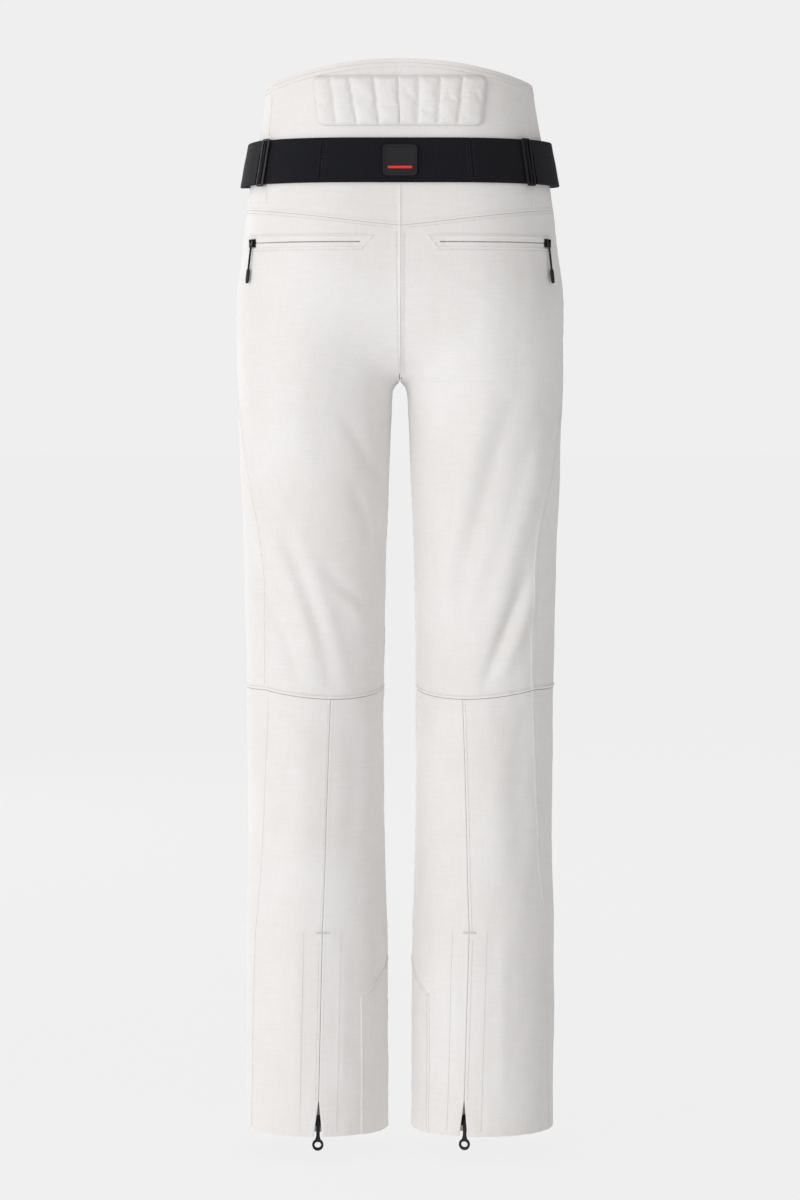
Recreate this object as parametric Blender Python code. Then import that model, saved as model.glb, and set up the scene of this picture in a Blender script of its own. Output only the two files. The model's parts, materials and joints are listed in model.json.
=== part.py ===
"""Ski trousers: shell panels, quilted lumbar pad, webbing belt, fly, back pockets and ankle zips.

Metres, +Z up. The wearer faces -Y, so the back is +Y and the wearer's left is +X.
The origin is the centre of the belt line.
"""

import math

import bmesh
import bpy
from mathutils import Matrix, Vector

# Heights.
BACK_TOP_Z = 0.105
SIDE_TOP_Z = 0.082
FRONT_TOP_Z = 0.048
BELT_TOP_Z = 0.0235
BELT_BOTTOM_Z = -0.0225
YOKE_SIDE_Z = -0.048
YOKE_CENTRE_Z = -0.067
POCKET_Z = -0.083
CROTCH_Z = -0.2265
KNEE_Z = -0.548
ANKLE_ZIP_TOP_Z = -0.800
KICK_Z = -0.868
HEM_Z = -1.013

# Height, half-width of the trousers, and distance of the leg's axis from the centre plane.
STATIONS = (
    (0.110, 0.133, 0.042),
    (0.030, 0.147, 0.048),
    (-0.030, 0.158, 0.052),
    (-0.083, 0.164, 0.055),
    (-0.140, 0.1705, 0.068),
    (-0.2265, 0.1705, 0.0878),
    (-0.2625, 0.170, 0.0895),
    (-0.357, 0.167, 0.0900),
    (-0.420, 0.165, 0.0901),
    (-0.548, 0.162, 0.0897),
    (-0.655, 0.161, 0.0892),
    (-0.735, 0.161, 0.0884),
    (-0.800, 0.163, 0.0884),
    (-1.020, 0.162, 0.0876),
)
SEAT_Z = -0.100
FRONT_RISE_Z = -0.170
FRONT_DEPTH = 0.1045
LEG_BLEND_RUN = 0.07
KNEE_FORWARD = 0.012

# Cloth.
FABRIC = 0.0022
SEAM_GAP = 0.0005
PAD_CLEARANCE = 0.0008
PAD_THICKNESS = 0.0085
PAD_TOP_Z = 0.087
PAD_BOTTOM_Z = 0.036
PAD_TOP_HALF = 0.0875
PAD_BOTTOM_HALF = 0.082

# Seam angles round a leg's axis: 0 is the back, 90 the outer side and -90 the inner leg.
INSEAM = -90.0
SIDE_SEAM = (
    (-0.050, 90.0),
    (-0.200, 88.0),
    (-0.280, 70.0),
    (-0.376, 47.0),
    (-0.450, 42.5),
    (-0.550, 44.0),
    (-0.710, 53.0),
    (-0.800, 60.0),
    (-1.013, 70.0),
)
WAIST_SEAM = ((0.090, 71.0), (-0.045, 54.0))
CALF_SEAM = {
    "left": ((KNEE_Z, -14.4), (ANKLE_ZIP_TOP_Z, -5.9), (HEM_Z, -1.5)),
    "right": ((KNEE_Z, -20.0), (ANKLE_ZIP_TOP_Z, -12.6), (HEM_Z, -17.0)),
}
KICK_EDGE = {"left": -39.0, "right": -50.0}
KICK_RISE = 0.038

# Zips: width across, slot, chain, and the slider and its pull.
ZIP_SLOT = 0.0014
ZIP_CHAIN = 0.0044
ZIP_TAPE_DEPTH = 0.0011
ZIP_CHAIN_DEPTH = 0.0017
ZIP_STOP = 0.004
WINDOW_HEIGHT = 0.010
FLUSH_WIDTH = 0.0092
FLUSH_LEVEL = -0.00115
WEB_WIDTH = 0.0008
PLATE_CLEARANCE = 0.0004
PLATE_THICKNESS = 0.0012
EAR_HEIGHT = 0.0022
EAR_WIDTH = 0.0011
EAR_GAP = 0.0050
HINGE_RISE = 0.0013

POCKET_ZIP_ANGLES = (-9.0, 69.0)
POCKET_SLIDER_ANGLE = 62.8
POCKET_PULL_TILT = 7.0
FLY_ZIP_TOP_Z = -0.0495
FLY_ZIP_BOTTOM_Z = -0.156
FLY_HALF = 0.005
FLY_SLIDER_DROP = 0.011
ANKLE_ZIP_LEVEL = -0.0090
ANKLE_ZIP_WIDTH = 0.024
ANKLE_SLIDER_RISE = 0.016
ANKLE_OPENING_Z = -0.975
ANKLE_OPENING_HALF = 0.0045

# Belt.
BELT_LEVEL = 0.0012
WEBBING = 0.0022
STRAP_LEVEL = 0.0042
BELT_SEAM = {"left": 16.8, "right": 12.8}
GLIDE_ANGLE = {"left": 58.0, "right": 50.0}
GLIDE_SIZE = (0.014, 0.050)
GLIDE_THICKNESS = 0.0020
STRAP_END_GAP = 0.0028
CLASP_HALF = 0.033
CLASP_HEIGHT = 0.036
CLASP_LEVEL = 0.0016
CLASP_PLATE = 0.0026
BADGE_SIZE = (0.035, 0.032)

SIDES = {"left": 1, "right": -1}


def station_value(stations, z, column):
    """A smooth curve through the stations, read at height z."""
    index = 0
    while index < len(stations) - 2 and z < stations[index + 1][0]:
        index += 1
    high, low = stations[index], stations[index + 1]

    def slope(at):
        before, after = max(at - 1, 0), min(at + 1, len(stations) - 1)
        rise = stations[after][column] - stations[before][column]
        return rise / (stations[after][0] - stations[before][0])

    span = low[0] - high[0]
    t = min(max((z - high[0]) / span, 0.0), 1.0)
    return (
        high[column] * (2 * t**3 - 3 * t**2 + 1)
        + slope(index) * span * (t**3 - 2 * t**2 + t)
        + low[column] * (3 * t**2 - 2 * t**3)
        + slope(index + 1) * span * (t**3 - t**2)
    )


def leg_centre(z):
    return station_value(STATIONS, z, 2)


def leg_radius(z):
    return station_value(STATIONS, z, 1) - leg_centre(z)


def knee_offset(z):
    """The leg's axis bows forward at the knee."""
    share = (FRONT_RISE_Z - z) / (FRONT_RISE_Z - ANKLE_ZIP_TOP_Z)
    return -KNEE_FORWARD * math.sin(math.pi * min(max(share, 0.0), 1.0)) ** 2


def seat_depth(z):
    """Distance from the origin's axis to the back centre line, which curves in to the crotch."""
    if z >= SEAT_Z:
        return leg_radius(z)
    share = min((SEAT_Z - z) / (SEAT_Z - CROTCH_Z), 1.0)
    return leg_radius(SEAT_Z) * math.sqrt(1 - share**2)


def front_depth(z):
    """Distance to the front centre line: straight down the fly, then in to the crotch."""
    if z >= SEAT_Z:
        return min(leg_radius(z), FRONT_DEPTH)
    share = min(max(FRONT_RISE_Z - z, 0.0) / (FRONT_RISE_Z - CROTCH_Z), 1.0)
    return FRONT_DEPTH * math.sqrt(1 - share**2)


def blend_width(y, z):
    """How far the two leg tubes melt into each other."""
    centre, radius = leg_centre(z), leg_radius(z)
    if z < CROTCH_Z:
        fade = max(1 - (CROTCH_Z - z) / LEG_BLEND_RUN, 0.0)
        return 4 * (leg_centre(CROTCH_Z) - leg_radius(CROTCH_Z)) * fade
    depth = seat_depth(z) if y >= 0 else front_depth(z)
    return 4 * (math.hypot(depth, centre) - radius)


def distance(x, y, z):
    """Signed distance to the shell's outer surface in the plane of height z."""
    centre, radius = leg_centre(z), leg_radius(z)
    near = math.hypot(x - centre, y) - radius
    far = math.hypot(x + centre, y) - radius
    blend = max(blend_width(y, z), 1e-6)
    share = max(blend - abs(near - far), 0.0) / blend
    return min(near, far) - share**2 * blend / 4


def depth_at_x(x, z, facing, level=0.0):
    """How far back (1) or forward (-1) the surface lies at this distance from the centre plane."""
    low, high = 0.0, 0.2
    for _ in range(34):
        y = (low + high) / 2
        if distance(x, facing * y, z) < level:
            low = y
        else:
            high = y
    return facing * low


def angle_at_x(x, z, facing):
    angle = math.degrees(math.atan2(x - leg_centre(z), depth_at_x(x, z, facing)))
    return angle if facing > 0 else angle % 360


def surface(side, angle, z, level=0.0):
    """The point at this angle round one leg's axis, this far outside the shell's surface."""
    sine, cosine = math.sin(math.radians(angle)), math.cos(math.radians(angle))
    centre = leg_centre(z)
    low, high = 0.0, min(0.25, centre / max(-sine, 1e-6))
    if high < 0.25 and distance(0.0, high * cosine, z) < level:
        # The ray meets the centre plane first, so the point is on that plane.
        y = depth_at_x(0.0, z, math.copysign(1, cosine), level)
        return Vector((SIDES[side] * SEAM_GAP / 2, y + knee_offset(z), z))
    for _ in range(34):
        reach = (low + high) / 2
        if distance(centre + reach * sine, reach * cosine, z) < level:
            low = reach
        else:
            high = reach
    x = max(centre + low * sine, SEAM_GAP / 2)
    return Vector((SIDES[side] * x, low * cosine + knee_offset(z), z))


def surface_frame(side, angle, z, level=0.0):
    """Axes along the cloth, out of it and up it, at a point on the surface."""
    step = 0.002
    point = surface(side, angle, z, level)
    across = surface(side, angle + 1, z, level) - surface(side, angle - 1, z, level)
    up = surface(side, angle, z + step, level) - surface(side, angle, z - step, level)
    out = across.cross(up).normalized()
    if out.dot(Vector((point.x - SIDES[side] * leg_centre(z), point.y, 0))) < 0:
        out = -out
    along = out.cross(Vector((0, 0, 1))).normalized()
    return frame_of(along, out, along.cross(out), point)


def centre_frame(facing, z, level=0.0):
    """The same axes on the centre line of the back (1) or the front (-1)."""
    step = 0.002
    here, above, below = [depth_at_x(0.0, at, facing, level) for at in (z, z + step, z - step)]
    along = Vector((facing, 0, 0))
    up = Vector((0, above - below, 2 * step)).normalized()
    return frame_of(along, up.cross(along), up, Vector((0, here, z)))


def frame_of(x_axis, y_axis, z_axis, origin):
    return Matrix.Translation(origin) @ Matrix((x_axis, y_axis, z_axis)).transposed().to_4x4()


# Seams.


def side_seam(z):
    return station_value(SIDE_SEAM, z, 1)


def waist_seam(z):
    (top, top_angle), (bottom, bottom_angle) = WAIST_SEAM
    return top_angle + (bottom_angle - top_angle) * (z - top) / (bottom - top)


def calf_seam(side):
    knee, zip_top, hem = CALF_SEAM[side]

    def angle(z):
        high, low = (knee, zip_top) if z > ANKLE_ZIP_TOP_Z else (zip_top, hem)
        return high[1] + (low[1] - high[1]) * (z - high[0]) / (low[0] - high[0])

    return angle


def back_centre(z):
    if z <= CROTCH_Z:
        return INSEAM
    return math.degrees(math.atan2(-leg_centre(z), seat_depth(z)))


def front_centre(z):
    if z <= CROTCH_Z:
        return INSEAM + 360
    return math.degrees(math.atan2(-leg_centre(z), -front_depth(z))) % 360


def fly_edge(z):
    if z < FLY_ZIP_BOTTOM_Z - 2 * SEAM_GAP:
        return front_centre(z)
    return angle_at_x(FLY_HALF, z, -1)


def side_reach(angle, z):
    return max(leg_centre(z) + leg_radius(z) * math.sin(math.radians(angle)), 0.0)


def top_edge(angle):
    """The waist is highest at the back centre and lowest at the front centre."""
    share = 1 - min(side_reach(angle, SIDE_TOP_Z) / side_reach(90, SIDE_TOP_Z), 1.0) ** 2
    centre = BACK_TOP_Z if angle <= 90 else FRONT_TOP_Z
    return SIDE_TOP_Z + (centre - SIDE_TOP_Z) * share


def yoke_seam(angle):
    """A shallow V across the back, and level round the front."""
    if angle > 90:
        return YOKE_SIDE_Z
    share = side_reach(angle, YOKE_SIDE_Z) / side_reach(90, YOKE_SIDE_Z)
    return YOKE_CENTRE_Z + (YOKE_SIDE_Z - YOKE_CENTRE_Z) * share


def knee_seam(angle):
    """Level at the front, and sagging a little behind the knee."""
    middle, half, sag = -22.0, 66.0, 0.0085
    if abs(angle - middle) >= half:
        return KNEE_Z
    return KNEE_Z - sag * math.cos(math.pi / 2 * (angle - middle) / half)


def kick_seam(side):
    """The kick patch's top edge: a tent over the inner ankle, level beyond it."""
    half = KICK_EDGE[side] - INSEAM

    def height(angle):
        off = abs((angle - INSEAM + 180) % 360 - 180)
        return KICK_Z + KICK_RISE * max(1 - off / half, 0.0)

    return height


def shifted(seam, across):
    """A seam moved round the leg by a distance."""
    return lambda z: seam(z) + math.degrees(across / leg_radius(z))


def lowered(seam, drop):
    return lambda angle: seam(angle) - drop


def level_at(value):
    return lambda _: value


def columns_between(first, last, shares):
    return [lambda z, share=share: first(z) + (last(z) - first(z)) * share for share in shares]


def even(count):
    return [index / count for index in range(count + 1)]


def crossing(column, row):
    """Where a column, an angle for each height, meets a row, a height for each angle."""
    angle = 0.0
    for _ in range(8):
        z = row(angle)
        angle = column(z)
    return angle, z


# Mesh building.


def finish(name, mesh_data, material_name, origin=(0, 0, 0), smooth=True):
    """Makes the object from world-space geometry, with its origin where it turns."""
    bmesh.ops.recalc_face_normals(mesh_data, faces=mesh_data.faces[:])
    mesh = bpy.data.meshes.new(name)
    mesh_data.to_mesh(mesh)
    mesh_data.free()
    mesh.transform(Matrix.Translation(-Vector(origin)))
    if smooth:
        mesh.shade_smooth()
        mesh.set_sharp_from_angle(angle=math.radians(35))
    mesh.materials.append(MATERIALS[material_name])
    obj = bpy.data.objects.new(name, mesh)
    obj.location = origin
    bpy.context.scene.collection.objects.link(obj)
    return obj


def slab(name, size, place, material_name, missing=(), ring=False, origin=(0, 0, 0)):
    """A thick sheet on a grid of cells. place(column, row, layer) gives each corner."""
    columns, rows = size
    mesh_data = bmesh.new()
    corners = {}

    def corner(column, row, layer):
        key = (column % columns if ring else column, row, layer)
        if key not in corners:
            corners[key] = mesh_data.verts.new(place(*key))
        return corners[key]

    def filled(column, row):
        if ring:
            column %= columns
        inside = 0 <= column < columns and 0 <= row < rows
        return inside and (column, row) not in missing

    for column in range(columns):
        for row in range(rows):
            if not filled(column, row):
                continue
            loop = ((column, row), (column + 1, row), (column + 1, row + 1), (column, row + 1))
            around = ((column, row - 1), (column + 1, row), (column, row + 1), (column - 1, row))
            for layer in (0, 1):
                mesh_data.faces.new([corner(*at, layer) for at in loop])
            for index, neighbour in enumerate(around):
                if filled(*neighbour):
                    continue
                start, end = loop[index], loop[(index + 1) % 4]
                wall = [corner(*start, 0), corner(*end, 0), corner(*end, 1), corner(*start, 1)]
                mesh_data.faces.new(wall)
    return finish(name, mesh_data, material_name, origin)


def skin(name, columns, rows, levels, material_name, missing=(), ring=False, origin=(0, 0, 0)):
    """A sheet that follows the shell. columns are (side, angle at each height) pairs."""

    def place(column, row, layer):
        side, line = columns[column]
        angle, z = crossing(line, rows[row])
        level = levels[layer]
        if callable(level):
            level = level(column, row)
        return surface(side, angle, z, level)

    size = (len(columns) if ring else len(columns) - 1, len(rows) - 1)
    return slab(name, size, place, material_name, missing, ring, origin)


def on_side(side, lines):
    return [(side, line) for line in lines]


def panel(name, side, lines, rows, missing=()):
    return skin(name, on_side(side, lines), rows, (0.0, -FABRIC), "shell", missing)


def prism(name, frame, outline, length, material_name, origin=None):
    """An outline in the frame's x-y plane, extruded both ways along its z axis."""
    mesh_data = bmesh.new()
    ends = [
        [mesh_data.verts.new(frame @ Vector((x, y, sign * length / 2))) for x, y in outline]
        for sign in (-1, 1)
    ]
    for end in ends:
        mesh_data.faces.new(end)
    for index in range(len(outline)):
        after = (index + 1) % len(outline)
        mesh_data.faces.new([ends[0][index], ends[0][after], ends[1][after], ends[1][index]])
    where = frame.translation if origin is None else origin
    return finish(name, mesh_data, material_name, where)


def loft(name, rings, material_name, origin):
    """Rings with the same number of points, joined in turn and capped."""
    mesh_data = bmesh.new()
    loops = [[mesh_data.verts.new(point) for point in ring] for ring in rings]
    for first, second in zip(loops, loops[1:]):
        for index in range(len(first)):
            after = (index + 1) % len(first)
            mesh_data.faces.new([first[index], first[after], second[after], second[index]])
    mesh_data.faces.new(loops[0])
    mesh_data.faces.new(loops[-1])
    return finish(name, mesh_data, material_name, origin)


def rounded_rectangle(width, height, corner, steps=3):
    points = []
    for quarter in range(4):
        x_sign, z_sign = ((1, 1), (-1, 1), (-1, -1), (1, -1))[quarter]
        for step in range(steps + 1):
            turn = math.pi / 2 * (quarter + step / steps)
            x = x_sign * (width / 2 - corner) + corner * math.cos(turn)
            z = z_sign * (height / 2 - corner) + corner * math.sin(turn)
            points.append((x, z))
    return points


def plate(name, frame, outlines, thickness, material_name, bevel=0.0):
    """A flat piece in the frame's x-z plane. Outlines after the first are holes in it."""
    curve = bpy.data.curves.new(name, "CURVE")
    curve.dimensions = "2D"
    curve.fill_mode = "BOTH"
    curve.extrude = thickness / 2 - bevel
    curve.bevel_depth = bevel
    curve.bevel_resolution = 0
    curve.offset = -bevel
    for outline in outlines:
        spline = curve.splines.new("POLY")
        spline.points.add(len(outline) - 1)
        spline.use_cyclic_u = True
        for point, (x, z) in zip(spline.points, outline):
            point.co = (x, z, 0, 1)
    curve.materials.append(MATERIALS[material_name])
    obj = bpy.data.objects.new(name, curve)
    obj.matrix_world = frame @ Matrix.Rotation(math.pi / 2, 4, "X")
    bpy.context.scene.collection.objects.link(obj)
    return obj


# Materials.


def make_material(name, colour, roughness, metallic=0.0):
    material = bpy.data.materials.new(name)
    material.use_nodes = True
    shader = material.node_tree.nodes["Principled BSDF"]
    shader.inputs["Base Color"].default_value = (*colour, 1)
    shader.inputs["Roughness"].default_value = roughness
    shader.inputs["Metallic"].default_value = metallic
    material.diffuse_color = (*colour, 1)
    return material


def make_materials():
    return {
        "shell": make_material("shell", (0.86, 0.86, 0.85), 0.75),
        "lining": make_material("lining", (0.62, 0.63, 0.65), 0.8),
        "gaiter": make_material("gaiter", (0.70, 0.70, 0.71), 0.6),
        "webbing": make_material("webbing", (0.012, 0.013, 0.022), 0.7),
        "zip_tape": make_material("zip_tape", (0.70, 0.70, 0.70), 0.6),
        "dark_metal": make_material("dark_metal", (0.03, 0.03, 0.035), 0.35, 1.0),
        "puller": make_material("puller", (0.03, 0.03, 0.035), 0.5),
        "buckle": make_material("buckle", (0.01, 0.01, 0.012), 0.4),
        "badge": make_material("badge", (0.035, 0.035, 0.045), 0.45),
        "red_trim": make_material("red_trim", (0.75, 0.03, 0.03), 0.5),
    }


# Shell.

BACK_ROWS = (-0.125, -0.16, -0.19, -0.21, -0.22, CROTCH_Z, -0.25, -0.28, -0.33, -0.376, -0.45)
FRONT_ROWS = (-0.088, -0.125, -0.156, -0.162, *BACK_ROWS[2:])
SHIN_ROWS = (-0.60, -0.66, -0.72, ANKLE_ZIP_TOP_Z)
CUFF_ROWS = (-0.92, ANKLE_OPENING_Z, HEM_Z)


def rows_of(heights):
    return [level_at(z) for z in heights]


def back_thigh(side):
    """Seat and back of the thigh, with a window for the pocket zip."""
    inner = shifted(back_centre, SEAM_GAP / 2)
    outer = shifted(side_seam, -SEAM_GAP / 2)
    start, end = inner(POCKET_Z), outer(POCKET_Z)
    first, last = [(angle - start) / (end - start) for angle in POCKET_ZIP_ANGLES]
    window_columns = 6
    step = (last - first) / window_columns
    window_shares = [first + step * index for index in range(window_columns + 1)]
    shares = [0.0, first / 2, *window_shares, (1 + last) / 2, 1.0]
    rows = [
        lowered(yoke_seam, SEAM_GAP / 2),
        level_at(POCKET_Z + WINDOW_HEIGHT / 2),
        level_at(POCKET_Z - WINDOW_HEIGHT / 2),
        *rows_of(BACK_ROWS),
        lowered(knee_seam, -SEAM_GAP / 2),
    ]
    window = {(column, 1) for column in range(2, 2 + window_columns)}
    panel(f"back_thigh_{side}", side, columns_between(inner, outer, shares), rows, window)


def front_thigh(side):
    outer = shifted(side_seam, SEAM_GAP / 2)
    inner = shifted(fly_edge, -SEAM_GAP / 2)
    rows = [
        lowered(yoke_seam, SEAM_GAP / 2),
        *rows_of(FRONT_ROWS),
        lowered(knee_seam, -SEAM_GAP / 2),
    ]
    panel(f"front_thigh_{side}", side, columns_between(outer, inner, even(11)), rows)


def ankle_gap(sign):
    """Half the gap between the flaps over the ankle zip: closed, then an inverted V at the hem."""

    def half(z):
        share = max((ANKLE_OPENING_Z - z) / (ANKLE_OPENING_Z - HEM_Z), 0.0)
        return sign * (SEAM_GAP / 2 + (ANKLE_OPENING_HALF - SEAM_GAP / 2) * share)

    return half


def zip_flap(side, sign):
    seam, gap = calf_seam(side), ankle_gap(sign)
    return lambda z: seam(z) + math.degrees(gap(z) / leg_radius(z))


def calf_outer(side):
    lines = columns_between(zip_flap(side, 1), shifted(side_seam, -SEAM_GAP / 2), even(5))
    rows = [
        lowered(knee_seam, SEAM_GAP / 2),
        *rows_of(SHIN_ROWS),
        level_at(KICK_Z),
        *rows_of(CUFF_ROWS),
    ]
    panel(f"calf_outer_{side}", side, lines, rows)


def calf_inner(side):
    """Inner calf, with its lower corner left to the kick patch."""
    inseam = shifted(level_at(INSEAM), SEAM_GAP / 2)
    edge = level_at(KICK_EDGE[side])
    lines = columns_between(inseam, edge, even(4)) + columns_between(
        edge, zip_flap(side, -1), (0.5, 1.0)
    )
    rows = [
        lowered(knee_seam, SEAM_GAP / 2),
        *rows_of(SHIN_ROWS),
        kick_seam(side),
        *rows_of(CUFF_ROWS),
    ]
    patch = {(column, row) for column in range(4) for row in range(5, 8)}
    panel(f"calf_inner_{side}", side, lines, rows, patch)


def front_shin(side):
    """Front of the shin, with its lower inner corner left to the kick patch."""
    inseam = shifted(level_at(INSEAM + 360), -SEAM_GAP / 2)
    edge = level_at(2 * INSEAM + 360 - KICK_EDGE[side])
    outer = shifted(side_seam, SEAM_GAP / 2)
    lines = columns_between(outer, edge, even(10)) + columns_between(edge, inseam, even(4)[1:])
    rows = [
        lowered(knee_seam, SEAM_GAP / 2),
        *rows_of(SHIN_ROWS),
        kick_seam(side),
        *rows_of(CUFF_ROWS),
    ]
    patch = {(column, row) for column in range(10, 14) for row in range(5, 8)}
    panel(f"front_shin_{side}", side, lines, rows, patch)


def kick_patch(side):
    """Scuff guard round the inner ankle."""
    back = KICK_EDGE[side]
    front = 2 * INSEAM - back
    lines = columns_between(
        shifted(level_at(front), SEAM_GAP), shifted(level_at(back), -SEAM_GAP), even(8)
    )
    rows = [lowered(kick_seam(side), SEAM_GAP), *rows_of(CUFF_ROWS)]
    panel(f"kick_patch_{side}", side, lines, rows)


def snow_gaiter(side):
    """Elastic inner cuff that grips the boot."""
    count = 20
    columns = [(side, level_at(360 * index / count)) for index in range(count)]
    rows = rows_of((-0.872, -0.94, -1.0))
    skin(f"snow_gaiter_{side}", columns, rows, (-0.0155, -0.0175), "gaiter", ring=True)


def waist_back():
    seam = shifted(waist_seam, -SEAM_GAP / 2)
    shares = even(6)
    left = on_side("left", columns_between(back_centre, seam, shares[1:]))
    right = on_side("right", columns_between(back_centre, seam, shares[1:]))
    middle = [("left", lambda z: back_centre(z))]
    rows = [top_edge, *rows_of((0.03, -0.01)), lowered(yoke_seam, -SEAM_GAP / 2)]
    skin("waist_back", [*reversed(right), *middle, *left], rows, (0.0, -FABRIC), "shell")


def waist_front(side):
    seam = shifted(waist_seam, SEAM_GAP / 2)
    lines = columns_between(seam, front_centre, even(9))
    rows = [top_edge, *rows_of((0.03, -0.01)), lowered(yoke_seam, -SEAM_GAP / 2)]
    panel(f"waist_front_{side}", side, lines, rows)


def lumbar_pad():
    """Quilted pad on the back waist, as one soft cushion."""
    count = 14
    heights = (PAD_TOP_Z, 0.083, 0.062, 0.040, PAD_BOTTOM_Z)

    def half_width(z):
        share = (z - PAD_BOTTOM_Z) / (PAD_TOP_Z - PAD_BOTTOM_Z)
        return PAD_BOTTOM_HALF + (PAD_TOP_HALF - PAD_BOTTOM_HALF) * share

    def line(share):
        return lambda z: angle_at_x(abs(share) * half_width(z), z, 1)

    def outer(column, row):
        rim = column in (0, count) or row in (0, len(heights) - 1)
        return PAD_CLEARANCE + (0.0015 if rim else PAD_THICKNESS)

    columns = []
    for index in range(count + 1):
        share = 2 * index / count - 1
        columns.append(("left" if share >= 0 else "right", line(share)))
    skin("lumbar_pad", columns, rows_of(heights), (PAD_CLEARANCE, outer), "shell")


def pocket_bag(side):
    """Mesh bag hanging behind the back pocket's zip."""
    first, last = POCKET_ZIP_ANGLES
    lines = columns_between(level_at(first - 3), level_at(last + 3), even(9))
    rows = rows_of((-0.073, -0.13, -0.185))
    skin(f"pocket_bag_{side}", on_side(side, lines), rows, (-0.0070, -0.0085), "lining")


# Zips.


def zip_levels(width):
    """Across a zip: tape edge, chain edge, slot edge, and the same beyond the slot."""
    half = (width / 2, ZIP_CHAIN / 2, ZIP_SLOT / 2)
    return (-half[0], -half[1], -half[2], half[2], half[1], half[0])


def zip_strip(name, width, stations, place):
    """Two tapes with their chain, open along the middle and joined by a stop at each end."""
    across = zip_levels(width)
    rows = len(stations) - 1
    slot = {(2, row) for row in range(1, rows - 1)}

    def corner(column, row, layer):
        edge = column in (0, len(across) - 1)
        half = (ZIP_TAPE_DEPTH if edge else ZIP_CHAIN_DEPTH) / 2
        return place(stations[row], across[column], half if layer else -half)

    return slab(name, (len(across) - 1, rows), corner, "zip_tape", slot)


def slider_outline(width):
    """An I section: a plate on each side of the tape and a web through the slot."""
    low = ZIP_CHAIN_DEPTH / 2 + PLATE_CLEARANCE
    high = low + PLATE_THICKNESS
    half, web = width / 2, WEB_WIDTH / 2
    return [
        (-half, -high),
        (half, -high),
        (half, -low),
        (web, -low),
        (web, low),
        (half, low),
        (half, high),
        (-half, high),
        (-half, low),
        (-web, low),
        (-web, -low),
        (-half, -low),
    ]


def zip_slider(name, frame, width, length, ears_across, origin):
    """The slider. x is across the zip, y out of it and z along it; ears hold the pull."""
    obj = prism(name, frame, slider_outline(width), length, "dark_metal", origin)
    mesh_data = bmesh.new()
    mesh_data.from_mesh(obj.data)
    to_frame = frame.inverted() @ Matrix.Translation(origin)
    top = ZIP_CHAIN_DEPTH / 2 + PLATE_CLEARANCE + PLATE_THICKNESS
    axis = 0 if ears_across else 2
    direction = Vector((1, 0, 0)) if ears_across else Vector((0, 0, 1))
    back = to_frame.inverted()
    for cut in (-EAR_GAP / 2 - EAR_WIDTH, -EAR_GAP / 2, EAR_GAP / 2, EAR_GAP / 2 + EAR_WIDTH):
        bmesh.ops.bisect_plane(
            mesh_data,
            geom=mesh_data.verts[:] + mesh_data.edges[:] + mesh_data.faces[:],
            plane_co=back @ (direction * cut),
            plane_no=back.to_3x3() @ direction,
        )
    ears = []
    for face in mesh_data.faces:
        centre = to_frame @ face.calc_center_median()
        on_ear = abs(abs(centre[axis]) - (EAR_GAP + EAR_WIDTH) / 2) < EAR_WIDTH / 2
        if abs(centre.y - top) < 1e-5 and on_ear:
            ears.append(face)
    raised = bmesh.ops.extrude_discrete_faces(mesh_data, faces=ears)["faces"]
    points = list({vert for face in raised for vert in face.verts})
    lift = back.to_3x3() @ Vector((0, EAR_HEIGHT, 0))
    bmesh.ops.translate(mesh_data, verts=points, vec=lift)
    mesh_data.to_mesh(obj.data)
    mesh_data.free()
    return obj


def slider_top():
    return ZIP_CHAIN_DEPTH / 2 + PLATE_CLEARANCE + PLATE_THICKNESS


def ellipse(frame, drop, half_width, half_depth, sides=10):
    """A ring round the frame's z axis, this far down it."""
    turns = [2 * math.pi * (index + 0.5) / sides for index in range(sides)]
    return [
        frame @ Vector((half_width * math.cos(turn), half_depth * math.sin(turn), -drop))
        for turn in turns
    ]


def cord_pull(name, frame, cord, grip):
    """An eye between the slider's ears, a short cord and a moulded grip. It hangs along -z."""
    eye, cord_radius = 0.0021, 0.00115
    grip_half, grip_depth = 0.0031, 0.0017
    start = cord
    sections = [
        (-0.0008, eye, 0.0005),
        (0.0, eye, 0.0009),
        (0.0010, eye, 0.0009),
        (0.0026, cord_radius, cord_radius),
        (start, cord_radius, cord_radius),
        (start + 0.0006, 0.0024, 0.0014),
        (start + 0.0030, grip_half, grip_depth),
        (start + grip - 0.0040, grip_half, grip_depth),
        (start + grip - 0.0012, 0.0026, 0.0015),
        (start + grip, 0.0015, 0.0009),
    ]
    rings = [ellipse(frame, *section) for section in sections]
    return loft(name, rings, "puller", frame.translation)


def ring_pull(name, frame, length):
    """A flat tab that widens into a finger ring. It hangs along -z."""
    neck, ring_half, ring_height, thickness = 0.0019, 0.0060, 0.0127, 0.0014
    middle = -length + ring_height / 2
    outline = [(-neck, 0.0008), (-neck, -length + ring_height + 0.003)]
    turns = [math.radians(118 + 304 * index / 14) for index in range(15)]
    outline += [
        (ring_half * math.cos(turn), middle + ring_height / 2 * math.sin(turn)) for turn in turns
    ]
    outline += [(neck, -length + ring_height + 0.003), (neck, 0.0008)]
    hole = [
        (0.0035 * math.cos(turn), middle + 0.0030 * math.sin(turn))
        for turn in (2 * math.pi * index / 12 for index in range(12))
    ]
    return plate(name, frame, (outline, hole), thickness, "puller", 0.0002)


def pocket_frame(side, angle):
    """x up, y out from the pocket arc's axis and z along the arc, at the zip's middle."""
    turn = math.radians(angle)
    out = Vector((SIDES[side] * math.sin(turn), math.cos(turn), 0))
    up = Vector((0, 0, 1))
    radius = leg_radius(POCKET_Z) + FLUSH_LEVEL
    return frame_of(up, out, up.cross(out), pocket_axis(side) + out * radius)


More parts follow.
